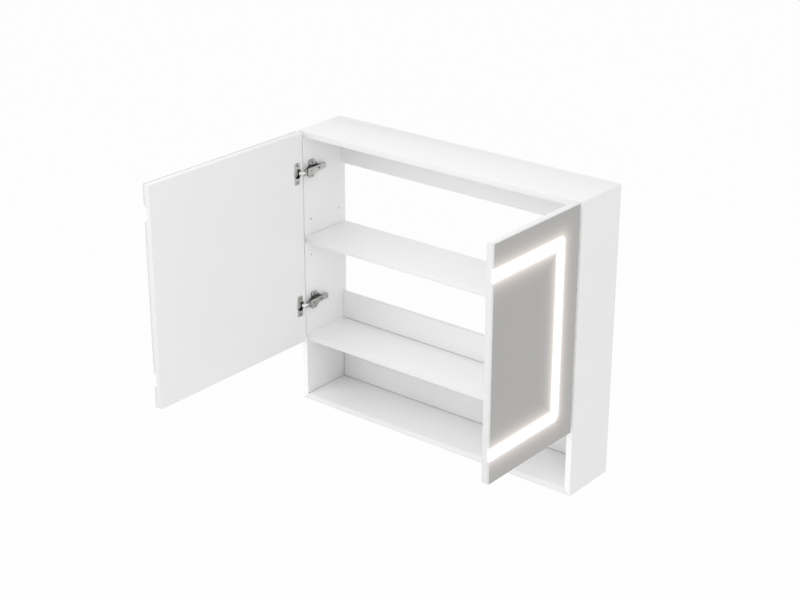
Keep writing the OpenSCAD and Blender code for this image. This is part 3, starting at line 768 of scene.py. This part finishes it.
# curved faces smooth, edges sharper than the angle crisp
def creaseByAngle(mesh, degrees):
    work = bmesh.new()
    work.from_mesh(mesh)
    limit = math.radians(degrees)
    for face in work.faces:
        face.smooth = True
    for edge in work.edges:
        edge.smooth = len(edge.link_faces) == 2 and edge.calc_face_angle(0) < limit
    work.to_mesh(mesh)
    work.free()


def bodyOf(node):
    return frame["nodes"][node]["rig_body"]


# makes a piece ride and stand for the nodes that it is made from
def seat(piece, body, slot, *nodes):
    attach(piece, body)
    if nodes:
        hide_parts(*nodes)
    return piece


# rounding a crowded corner can push it out a little: no corner leaves the node's own box
def keepInside(mesh, node):
    low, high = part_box(node)
    for vert in mesh.vertices:
        vert.co = [min(max(vert.co[k], low[k]), high[k]) for k in range(3)]


# a node's solids with every long outer edge rounded
def roundedSolid(node, setting):
    work = solidCopy(node)
    weight = work.edges.layers.float.new("bevel_weight_edge")
    shortest = max(setting.get("shortestEdge", 0.0), meshSetting["bevels"] * setting["edge"])
    turned = math.radians(meshSetting["roundFrom"])
    for edge in work.edges:
        outer = len(edge.link_faces) == 2 and edge.is_convex
        if outer and edge.calc_face_angle(0) > turned and edge.calc_length() > shortest:
            edge[weight] = 1.0
    mesh = bpy.data.meshes.new(node + "_rounded")
    work.to_mesh(mesh)
    work.free()
    thing = newObject(node + "_rounded", mesh)
    bevel = thing.modifiers.new("edges", "BEVEL")
    bevel.width = setting["edge"]
    bevel.segments = setting["steps"]
    bevel.limit_method = "WEIGHT"
    bevel.use_clamp_overlap = False
    piece = settle(thing, node + "_dressed")
    keepInside(piece.data, node)
    return piece


def dressSolid(node, slot, material, setting):
    piece = roundedSolid(node, setting)
    piece.data.materials.clear()
    piece.data.materials.append(materials[material])
    creaseByAngle(piece.data, setting["crease"])
    return seat(piece, bodyOf(node), slot, node)


# gives a piece a second finish on the faces that the test picks
def finishFaces(piece, material, picked):
    piece.data.materials.append(materials[material])
    for face in piece.data.polygons:
        face.material_index = 1 if picked(face) else 0


def paint(node, material):
    mesh = frame["nodes"][node].data
    mesh.materials.clear()
    mesh.materials.append(materials[material])


# Boards and mirrors

# a face looks along an axis where its normal's share along that axis is over facing
boardSetting = {"edge": 0.6 * mm, "steps": 3, "crease": 20, "shortestEdge": 8 * mm, "facing": 0.97}
backSetting = {**boardSetting, "edge": 1.0 * mm, "edgeFacing": 0.1}
doorSetting = {**boardSetting, "edge": 0.9 * mm}
glassSetting = {**boardSetting, "edge": 0.5 * mm, "steps": 2, "facing": 0.99}

uprightBoards = ("left_side_panel", "right_side_panel")
levelBoards = ("top_panel", "bottom_panel", "fixed_shelf", "adjustable_shelf")
# each back board's finish, and its finished long edge: 1 the upper, -1 the lower, 0 neither
backBoards = {
    "niche_back_panel": ("backShadeLaminate", 0),
    "lower_back_rail": ("backShadeLaminate", 1),
    "hanging_rail": ("railShadeLaminate", -1),
}


# the front edge of a level board has a glued strip, painted a slightly darker white as painted shade on the
# front faces
def isFront(face):
    return face.normal.y < -boardSetting["facing"]


# the edges of a back board are raw and take painted shade, apart from its finished long edge
def takesJointShade(face, longEdge):
    broad = abs(face.normal.y) > backSetting["facing"]
    return not broad and face.normal.z * longEdge <= backSetting["edgeFacing"]


# the glass is silvered on its broad faces and ground on its rim
def isRim(face):
    return abs(face.normal.x) <= glassSetting["facing"]


for node in uprightBoards:
    dressSolid(node, "white_carcass_board", "whiteLaminate", boardSetting)
for node in levelBoards:
    board = dressSolid(node, "white_carcass_board", "whiteLaminate", boardSetting)
    finishFaces(board, "frontShadeStrip", isFront)
for node, (material, longEdge) in backBoards.items():
    board = dressSolid(node, "white_carcass_board", material, backSetting)
    finishFaces(board, "jointShade", lambda face: takesJointShade(face, longEdge))
for side in sides:
    dressSolid(side + "_door_board", "white_door_board", side + "DoorPaint", doorSetting)
print("boards rounded")

for side in sides:
    pane = dressSolid(side + "_mirror_glass", "mirror", side + "Mirror", glassSetting)
    finishFaces(pane, side + "GlassEdge", isRim)
    paint(side + "_frosted_band", side + "LitGlass")
    paint(side + "_diffuser", "opalDiffuser")
    paint(side + "_leads", "leadSheath")
print("mirrors silvered")

# Pieces grown by geometry nodes


# a geometry tree whose sizes are named inputs
def newRecipe(name, sizes):
    tree = bpy.data.node_groups.new(name, "GeometryNodeTree")
    tree.interface.new_socket("Geometry", in_out="INPUT", socket_type="NodeSocketGeometry")
    for size, value in sizes.items():
        kind = "NodeSocketInt" if isinstance(value, int) else "NodeSocketFloat"
        tree.interface.new_socket(size, in_out="INPUT", socket_type=kind)
    tree.interface.new_socket("Geometry", in_out="OUTPUT", socket_type="NodeSocketGeometry")
    graph = Graph(tree)
    entry = tree.nodes.new("NodeGroupInput")
    graph.given = {socket.name: Wire(graph, socket) for socket in entry.outputs if socket.name}
    return graph


# ends a tree: instances made real, one finish, and painted shade on the faces that the recipe picks
def endRecipe(graph, shape, material, recessShadeMaterial=None):
    shape = graph.add("GeometryNodeRealizeInstances", {}, {0: shape})
    shape = graph.add("GeometryNodeSetMaterial", {}, {0: shape, "Material": materials[material]})
    if recessShadeMaterial:
        recessShade = graph.add("GeometryNodeInputNamedAttribute", {"data_type": "BOOLEAN"}, {"Name": "recessShade"})
        sockets = {0: shape, "Selection": recessShade, "Material": materials[recessShadeMaterial]}
        shape = graph.add("GeometryNodeSetMaterial", {}, sockets)
    graph.add("NodeGroupOutput", {}, {0: shape})


# runs a tree on a start mesh and keeps the plain result, without empty slots and helping attributes
def grow(name, graph, start, sizes, crease):
    thing = newObject(name, start)
    modifier = thing.modifiers.new(name, "NODES")
    modifier.node_group = graph.tree
    for socket in graph.tree.interface.items_tree:
        if socket.in_out == "INPUT" and socket.name in sizes:
            modifier[socket.identifier] = sizes[socket.name]
    piece = settle(thing, name)
    for index in reversed(range(len(piece.data.materials))):
        if piece.data.materials[index] is None:
            piece.data.materials.pop(index=index)
    for attribute in ("recessShade", "facing"):
        if attribute in piece.data.attributes:
            piece.data.attributes.remove(piece.data.attributes[attribute])
    creaseByAngle(piece.data, crease)
    return piece


# the loose solids of a node, as their lowest and highest corners
def solidsOf(node):
    work = solidCopy(node)
    left = set(work.verts)
    boxes = []
    while left:
        group = [left.pop()]
        for vert in group:
            for edge in vert.link_edges:
                other = edge.other_vert(vert)
                if other in left:
                    left.remove(other)
                    group.append(other)
        low = Vector([min(vert.co[k] for vert in group) for k in range(3)])
        high = Vector([max(vert.co[k] for vert in group) for k in range(3)])
        boxes.append((low, high))
    work.free()
    return sorted(boxes, key=lambda box: tuple(round(value, 5) for value in box[0]))


# a start mesh with one point for each place, and the way that it faces
def pointMesh(name, places):
    mesh = bpy.data.meshes.new(name)
    mesh.from_pydata([place for place, way in places], [], [])
    facing = mesh.attributes.new("facing", "FLOAT_VECTOR", "POINT")
    for index, (place, way) in enumerate(places):
        facing.data[index].vector = way
    return mesh


# turns the z axis of a shape to the given way
def turnTo(graph, way):
    return graph.add("FunctionNodeAlignRotationToVector", {"axis": "Z"}, {"Vector": way})


def onPoints(graph, shape):
    facing = graph.add("GeometryNodeInputNamedAttribute", {"data_type": "FLOAT_VECTOR"}, {"Name": "facing"})
    sockets = {"Points": graph.given["Geometry"], "Instance": shape, "Rotation": turnTo(graph, facing)}
    return graph.add("GeometryNodeInstanceOnPoints", {}, sockets)


# the way from a piece towards the middle of the cabinet
def inward(middle):
    return Vector((-1.0 if middle.x > 0 else 1.0, 0.0, 0.0))


# Screws and bolts: a domed head with a cross recess, a threaded shank and a point

# lengths in millimetres; under is a share of the head's radius
cupScrew = {
    "head": 1.4, "under": 1.0, "dome": 0.5, "core": 1.35,
    "pitch": 1.5, "slot": 3.8, "point": 2.0,
}
screwSetting = {
    "plate_screws": {
        "head": 1.3, "under": 1.0, "dome": 0.5, "core": 2.1,
        "pitch": 1.8, "slot": 4.2, "point": 2.0,
    },
    "left_cup_screws": cupScrew,
    "right_cup_screws": cupScrew,
    "arm_fixing_screws": {
        "head": 1.1, "under": 1.0, "dome": 0.35, "core": 1.8,
        "pitch": 0.8, "slot": 4.0, "point": 0.5,
    },
    "side_adjusting_screws": {
        "head": 1.2, "under": 0.95, "dome": 0.2, "core": 2.1,
        "pitch": 0.8, "slot": 3.6, "point": 0.5,
    },
    "hanger_screws": {
        "head": 2.0, "under": 0.5, "dome": 0.1, "core": 1.35,
        "pitch": 1.5, "slot": 4.0, "point": 2.0, "alongY": True,
    },
    "cam_bolts": {
        "head": 3.0, "under": 0.6, "dome": 0.9, "core": 1.7,
        "pitch": 1.6, "slot": 2.2, "point": 1.0,
    },
}
recessSetting = {"width": 1.2 * mm, "depth": 0.8 * mm}
# depth and tipRadius are shares of the core's radius, tipSink of the point's length,
# reach and foot of the shank's length
threadSetting = {
    "headCorners": 28,
    "headRings": 2,
    "headFill": 3,
    "shankCorners": 20,
    "turnCorners": 14,
    "ridgeCorners": 3,
    "depth": 0.2,
    "tipRadius": 0.3,
    "tipSink": 0.95,
    "reach": 0.9,
    "foot": 0.97,
    "crease": 35,
}


def makeScrewRecipe(setting):
    graph = newRecipe("screw", dict.fromkeys((
        "Head radius", "Head height", "Under radius", "Dome", "Core radius", "Thread depth",
        "Pitch", "Shank length", "Point length", "Slot length", "Slot width", "Slot depth",
    ), 0.0))
    size = graph.given
    head = graph.add("GeometryNodeMeshCone", {}, {
        "Vertices": setting["headCorners"], "Side Segments": setting["headRings"],
        "Fill Segments": setting["headFill"], "Radius Top": size["Head radius"],
        "Radius Bottom": size["Under radius"], "Depth": size["Head height"],
    })
    x, y, z = graph.axes(graph.add("GeometryNodeInputPosition"))
    reach = (x * x + y * y) / (size["Head radius"] * size["Head radius"])
    sink = graph.vector(0.0, 0.0, reach * (z / size["Head height"]) * size["Dome"] * -1.0)
    head = graph.add("GeometryNodeSetPosition", {}, {0: head, "Offset": sink})
    bars = [
        graph.add("GeometryNodeMeshCube", {}, {"Size": graph.vector(*lengths, size["Slot depth"] * 2.0)})
        for lengths in ((size["Slot length"], size["Slot width"]), (size["Slot width"], size["Slot length"]))
    ]
    bars = graph.lift(graph.join(*bars), size["Head height"])
    # the cross recess is picked out for painted shade, standing in for the shadow in it
    bars = graph.add("GeometryNodeStoreNamedAttribute", {"data_type": "BOOLEAN", "domain": "FACE"},
                     {0: bars, "Name": "recessShade", "Value": True})
    cut = {"Mesh 1": head, "Mesh 2": bars, "Self Intersection": True}
    head = graph.add("GeometryNodeMeshBoolean", {"operation": "DIFFERENCE", "solver": "EXACT"}, cut)
    shank = graph.add("GeometryNodeMeshCylinder", {}, {
        "Vertices": setting["shankCorners"], "Radius": size["Core radius"], "Depth": size["Shank length"],
    })
    shank = graph.lift(shank, size["Shank length"] * -0.5)
    tip = graph.add("GeometryNodeMeshCone", {}, {
        "Vertices": setting["shankCorners"], "Radius Top": size["Core radius"],
        "Radius Bottom": size["Core radius"] * setting["tipRadius"], "Depth": size["Point length"],
    })
    tip = graph.lift(tip, (size["Shank length"] + size["Point length"] * setting["tipSink"]) * -1.0)
    helix = graph.add("GeometryNodeCurveSpiral", {}, {
        "Resolution": setting["turnCorners"],
        "Rotations": size["Shank length"] / size["Pitch"] * setting["reach"],
        "Start Radius": size["Core radius"], "End Radius": size["Core radius"],
        "Height": size["Shank length"] * setting["reach"],
    })
    sockets = {"Resolution": setting["ridgeCorners"], "Radius": size["Thread depth"]}
    ridge = graph.add("GeometryNodeCurvePrimitiveCircle", {}, sockets)
    sockets = {"Curve": helix, "Profile Curve": ridge, "Fill Caps": True}
    thread = graph.add("GeometryNodeCurveToMesh", {}, sockets)
    thread = graph.lift(thread, size["Shank length"] * -setting["foot"])
    whole = graph.lift(graph.join(head, shank, tip, thread), size["Head height"] * -1.0)
    endRecipe(graph, onPoints(graph, whole), "screwSteel", "paintedShadeSteel")
    return graph


# radius and length come from the screws' own solids in the frame
def growScrews(graph, node, setting):
    boxes = solidsOf(node)
    spans = boxes[0][1] - boxes[0][0]
    along = 1 if "alongY" in setting else 0
    places = []
    for low, high in boxes:
        middle = (low + high) / 2
        way = Vector((0.0, 1.0, 0.0)) if along else inward(middle)
        middle[along] += way[along] * spans[along] / 2
        places.append((middle, way))
    radius = spans.z / 2
    sizes = {
        "Head radius": radius,
        "Head height": setting["head"] * mm,
        "Under radius": radius * setting["under"],
        "Dome": setting["dome"] * mm,
        "Core radius": setting["core"] * mm,
        "Thread depth": setting["core"] * mm * threadSetting["depth"],
        "Pitch": setting["pitch"] * mm,
        "Shank length": spans[along] - (setting["head"] + setting["point"]) * mm,
        "Point length": setting["point"] * mm,
        "Slot length": setting["slot"] * mm,
        "Slot width": recessSetting["width"],
        "Slot depth": recessSetting["depth"],
    }
    start = pointMesh(node, places)
    piece = grow(node + "_threaded", graph, start, sizes, threadSetting["crease"])
    return seat(piece, bodyOf(node), "nickel_plated_steel", node)


screwRecipe = makeScrewRecipe(threadSetting)
for node, setting in screwSetting.items():
    growScrews(screwRecipe, node, setting)
print("screws threaded")

# Fluted dowels

dowelSetting = {
    "flutes": 16,
    "fluteDepth": 0.18 * mm,
    "chamfer": 0.7 * mm,
    "chamferFrom": 0.98,
    "corners": 64,
    "rings": 14,
    "crease": 50,
}


def makeDowelRecipe(setting):
    sizes = {"Radius": 0.0, "Length": 0.0, "Flutes": 1, "Flute depth": 0.0, "Chamfer": 0.0}
    graph = newRecipe("dowel", sizes)
    size = graph.given
    rod = graph.add("GeometryNodeMeshCylinder", {}, {
        "Vertices": setting["corners"], "Side Segments": setting["rings"],
        "Radius": size["Radius"], "Depth": size["Length"],
    })
    x, y, z = graph.axes(graph.add("GeometryNodeInputPosition"))
    angle = y.math("ARCTAN2", x)
    flute = ((angle * size["Flutes"]).math("COSINE") * 0.5 + 0.5) * size["Flute depth"]
    end = abs(z) / (size["Length"] * 0.5)
    taper = end.math("GREATER_THAN", setting["chamferFrom"]) * size["Chamfer"]
    share = 1.0 - (flute + taper) / size["Radius"]
    place = graph.vector(x * share, y * share, z)
    shaped = graph.add("GeometryNodeSetPosition", {}, {0: rod, "Position": place})
    endRecipe(graph, onPoints(graph, shaped), "beech")
    return graph


def growDowels(node, setting):
    boxes = solidsOf(node)
    spans = boxes[0][1] - boxes[0][0]
    places = [((low + high) / 2, Vector((1.0, 0.0, 0.0))) for low, high in boxes]
    sizes = {
        "Radius": spans.z / 2,
        "Length": spans.x,
        "Flutes": setting["flutes"],
        "Flute depth": setting["fluteDepth"],
        "Chamfer": setting["chamfer"],
    }
    start = pointMesh(node, places)
    piece = grow(node + "_fluted", makeDowelRecipe(setting), start, sizes, setting["crease"])
    return seat(piece, bodyOf(node), "dowel_wood", node)


growDowels("joint_dowels", dowelSetting)
print("dowels fluted")

# Light strips: a thin tape with light chips at an even pitch along it

stripSetting = {
    "tape": 0.5 * mm,
    "chipRadius": 2.4 * mm,
    "chipHeight": 0.8 * mm,
    "chipTaper": 0.9,
    "chipCorners": 4,
    "lensRadius": 1.2 * mm,
    "lensTaper": 0.8,
    "lensHeight": 0.35,
    "lensCorners": 10,
    "endMargin": 6 * mm,
    "narrowest": 1 * mm,
    "near": 0.1 * mm,
    "crease": 30,
}


def makeChipRecipe(setting):
    sizes = dict.fromkeys(("Pitch", "Chip radius", "Chip height", "Lens radius", "Facing"), 0.0)
    graph = newRecipe("light chips", sizes)
    size = graph.given
    path = graph.add("GeometryNodeMeshToCurve", {}, {0: size["Geometry"]})
    path = graph.add("GeometryNodeResampleCurve", {"mode": "LENGTH"}, {0: path, "Length": size["Pitch"]})
    case = graph.add("GeometryNodeMeshCone", {}, {
        "Vertices": setting["chipCorners"], "Radius Top": size["Chip radius"] * setting["chipTaper"],
        "Radius Bottom": size["Chip radius"], "Depth": size["Chip height"],
    })
    lens = graph.add("GeometryNodeMeshCone", {}, {
        "Vertices": setting["lensCorners"], "Radius Top": size["Lens radius"] * setting["lensTaper"],
        "Radius Bottom": size["Lens radius"], "Depth": size["Chip height"] * setting["lensHeight"],
    })
    chip = graph.join(case, graph.lift(lens, size["Chip height"]))
    turn = turnTo(graph, graph.vector(size["Facing"], 0.0, 0.0))
    sockets = {"Points": path, "Instance": chip, "Rotation": turn}
    endRecipe(graph, graph.add("GeometryNodeInstanceOnPoints", {}, sockets), "lightChip")
    return graph


# the tape follows the strip's outline, the chips the middle line of its three runs
def layStrip(graph, side, setting):
    node = side + "_light_strip"
    low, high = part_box(node)
    facing = -1.0 if low.x < 0 else 1.0
    seated = high.x if facing < 0 else low.x
    face = seated + facing * setting["tape"]
    work = solidCopy(node)
    drops = [high.z - vert.co.z for vert in work.verts]
    width = min(drop for drop in drops if drop > setting["narrowest"])
    for vert in work.verts:
        if abs(vert.co.x - seated) > setting["near"]:
            vert.co.x = face
    tape = bpy.data.meshes.new(side + "_light_tape")
    work.to_mesh(tape)
    work.free()
    tape.materials.append(materials["stripTape"])
    creaseByAngle(tape, setting["crease"])
    seat(newObject(side + "_light_tape", tape), bodyOf(node), "light_strip", node)
    free = low.y + setting["endMargin"]
    bend = high.y - width / 2
    upper = high.z - width / 2
    lower = low.z + width / 2
    path = bpy.data.meshes.new(side + "_light_path")
    corners = [(face, free, upper), (face, bend, upper), (face, bend, lower), (face, free, lower)]
    path.from_pydata(corners, [(0, 1), (1, 2), (2, 3)], [])
    sizes = {
        "Pitch": chipPitch,
        "Chip radius": setting["chipRadius"],
        "Chip height": setting["chipHeight"],
        "Lens radius": setting["lensRadius"],
        "Facing": facing,
    }
    chips = grow(side + "_light_chips", graph, path, sizes, setting["crease"])
    seat(chips, bodyOf(node), "light_strip")


chipRecipe = makeChipRecipe(stripSetting)
for side in sides:
    layStrip(chipRecipe, side, stripSetting)
print("light strips laid")

# Ribs: finger ribs across each release lever and cooling ribs on each driver

leverSetting = {
    "edge": 0.4 * mm,
    "steps": 3,
    "cap": 19.4 * mm,
    "ribs": 6,
    "radius": 0.45 * mm,
    "corners": 12,
    "sink": 0.2 * mm,
    "margin": 3.2 * mm,
    "short": 3.0 * mm,
    "crease": 35,
}
driverSetting = {
    "edge": 0.6 * mm,
    "steps": 3,
    "ribs": 12,
    "radius": 0.6 * mm,
    "corners": 12,
    "sink": 0.35 * mm,
    "margin": 5.0 * mm,
    "short": 24 * mm,
    "crease": 35,
}


def makeRibRecipe(setting, material):
    sizes = ("Radius", "Length", "Start X", "Start Y", "Start Z", "Step Y", "Step Z", "Turn")
    graph = newRecipe("ribs", {"Ribs": 1, **dict.fromkeys(sizes, 0.0)})
    size = graph.given
    start = graph.vector(size["Start X"], size["Start Y"], size["Start Z"])
    step = graph.vector(0.0, size["Step Y"], size["Step Z"])
    sockets = {"Count": size["Ribs"], "Start Location": start, "Offset": step}
    row = graph.add("GeometryNodeMeshLine", {}, sockets)
    sockets = {"Vertices": setting["corners"], "Radius": size["Radius"], "Depth": size["Length"]}
    rib = graph.add("GeometryNodeMeshCylinder", {}, sockets)
    turn = graph.vector(size["Turn"], 0.0, 0.0)
    rib = graph.add("GeometryNodeTransform", {}, {0: rib, "Rotation": turn})
    ribs = graph.add("GeometryNodeInstanceOnPoints", {}, {"Points": row, "Instance": rib})
    endRecipe(graph, graph.join(size["Geometry"], ribs), material)
    return graph


# a lever's ribs lie along z on its cap, a driver's along y over its whole height
def growRibs(node, slot, material, setting, acrossZ):
    graph = makeRibRecipe(setting, material)
    shell = roundedSolid(node, setting)
    start = shell.data.copy()
    bpy.data.objects.remove(shell)
    low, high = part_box(node)
    middle = (low + high) / 2
    way = inward(middle).x if acrossZ else -inward(middle).x
    top = high.x if way > 0 else low.x
    cap = setting["cap"] if acrossZ else high.z - low.z
    first = (high.y if acrossZ else high.z) - cap + setting["margin"]
    pitch = (cap - 2 * setting["margin"]) / (setting["ribs"] - 1)
    sizes = {
        "Ribs": setting["ribs"],
        "Radius": setting["radius"],
        "Length": (high.z - low.z if acrossZ else high.y - low.y) - setting["short"],
        "Start X": top - way * setting["sink"],
        "Start Y": first if acrossZ else middle.y,
        "Start Z": middle.z if acrossZ else first,
        "Step Y": pitch if acrossZ else 0.0,
        "Step Z": 0.0 if acrossZ else pitch,
        "Turn": 0.0 if acrossZ else math.pi / 2,
    }
    piece = grow(node + "_ribbed", graph, start, sizes, setting["crease"])
    return seat(piece, bodyOf(node), slot, node)


# a lever has painted shade in front of its cap, inside the arm
for side in sides:
    for level in ("lower", "upper"):
        node = side + "_" + level + "_release_lever"
        lever = growRibs(node, "nickel_plated_steel", "nickel", leverSetting, True)
        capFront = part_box(node)[1].y - leverSetting["cap"] + leverSetting["edge"]
        finishFaces(lever, "paintedShadeSteel", lambda face: face.center.y < capFront)
for side in sides:
    growRibs(side + "_driver", "driver_case", "driverCase", driverSetting, False)
print("levers and drivers ribbed")

# Hinges and other small fittings, with painted shade in folds and recesses and painted dark reflection on
# the arm flanks

hingeSetting = {
    "edge": 0.2 * mm,
    "steps": 2,
    "crease": 32,
    "flankOut": 5.8 * mm,
    "flankFacing": 0.8,
    "rimFacing": 0.5,
    "cupBore": 12.4 * mm,
    "boreFacing": 0.3,
}
camLockSetting = {"edge": 0.3 * mm, "steps": 2, "crease": 32}
grommetSetting = {"edge": 0.2 * mm, "steps": 2, "crease": 40}


def dressMetal(node, material):
    return dressSolid(node, "nickel_plated_steel", material, hingeSetting)


def middlesOf(node):
    return [(low + high) / 2 for low, high in solidsOf(node)]


# the arms' outer flanks and their ends, which take painted dark reflection and shade
def onArmFlank(face, arms):
    out = min(abs(arm.z - face.center.z) for arm in arms)
    flank = abs(face.normal.z) > hingeSetting["flankFacing"] and out > hingeSetting["flankOut"]
    return abs(face.normal.y) > hingeSetting["flankFacing"] or flank


# the thin rim round a plate's wings, which takes painted shade as a dark outline
def onPlateRim(face):
    return abs(face.normal.x) < hingeSetting["rimFacing"]


# the inner wall of a cup, which faces the cup's own axis and takes painted shade
def inCupBore(face, cups):
    axis = min(cups, key=lambda cup: (cup - face.center).length)
    out = Vector((0.0, face.center.y - axis.y, face.center.z - axis.z))
    inBore = out.length < hingeSetting["cupBore"] and face.normal.dot(out) < 0
    return inBore and abs(face.normal.x) < hingeSetting["boreFacing"]


arms = middlesOf("hinge_arms")
finishFaces(dressMetal("hinge_arms", "nickel"), "paintedShadeSteel", lambda face: onArmFlank(face, arms))
finishFaces(dressMetal("mounting_plates", "nickel"), "paintedShadeSteel", onPlateRim)
for side in sides:
    cups = middlesOf(side + "_cup_dampers")
    cupPiece = dressMetal(side + "_hinge_cups", "nickel")
    finishFaces(cupPiece, "paintedShadeSteel", lambda face: inCupBore(face, cups))
    dressMetal(side + "_outer_links", "linkNickel")
    dressMetal(side + "_inner_links", "linkNickel")
dressMetal("keyhole_hangers", "nickel")
dressMetal("shelf_pins", "nickel")
dressSolid("cam_locks", "nickel_plated_steel", "castZinc", camLockSetting)
for node in ("arm_pivot_pins", "lever_pins", "left_link_pins", "right_link_pins",
             "left_cup_pins", "right_cup_pins"):
    paint(node, "pivotSteel")
for side in sides:
    dressSolid(side + "_lead_grommet", "grommet", "grommetRubber", grommetSetting)
    paint(side + "_cup_dampers", "damperPlastic")
print("fittings dressed")
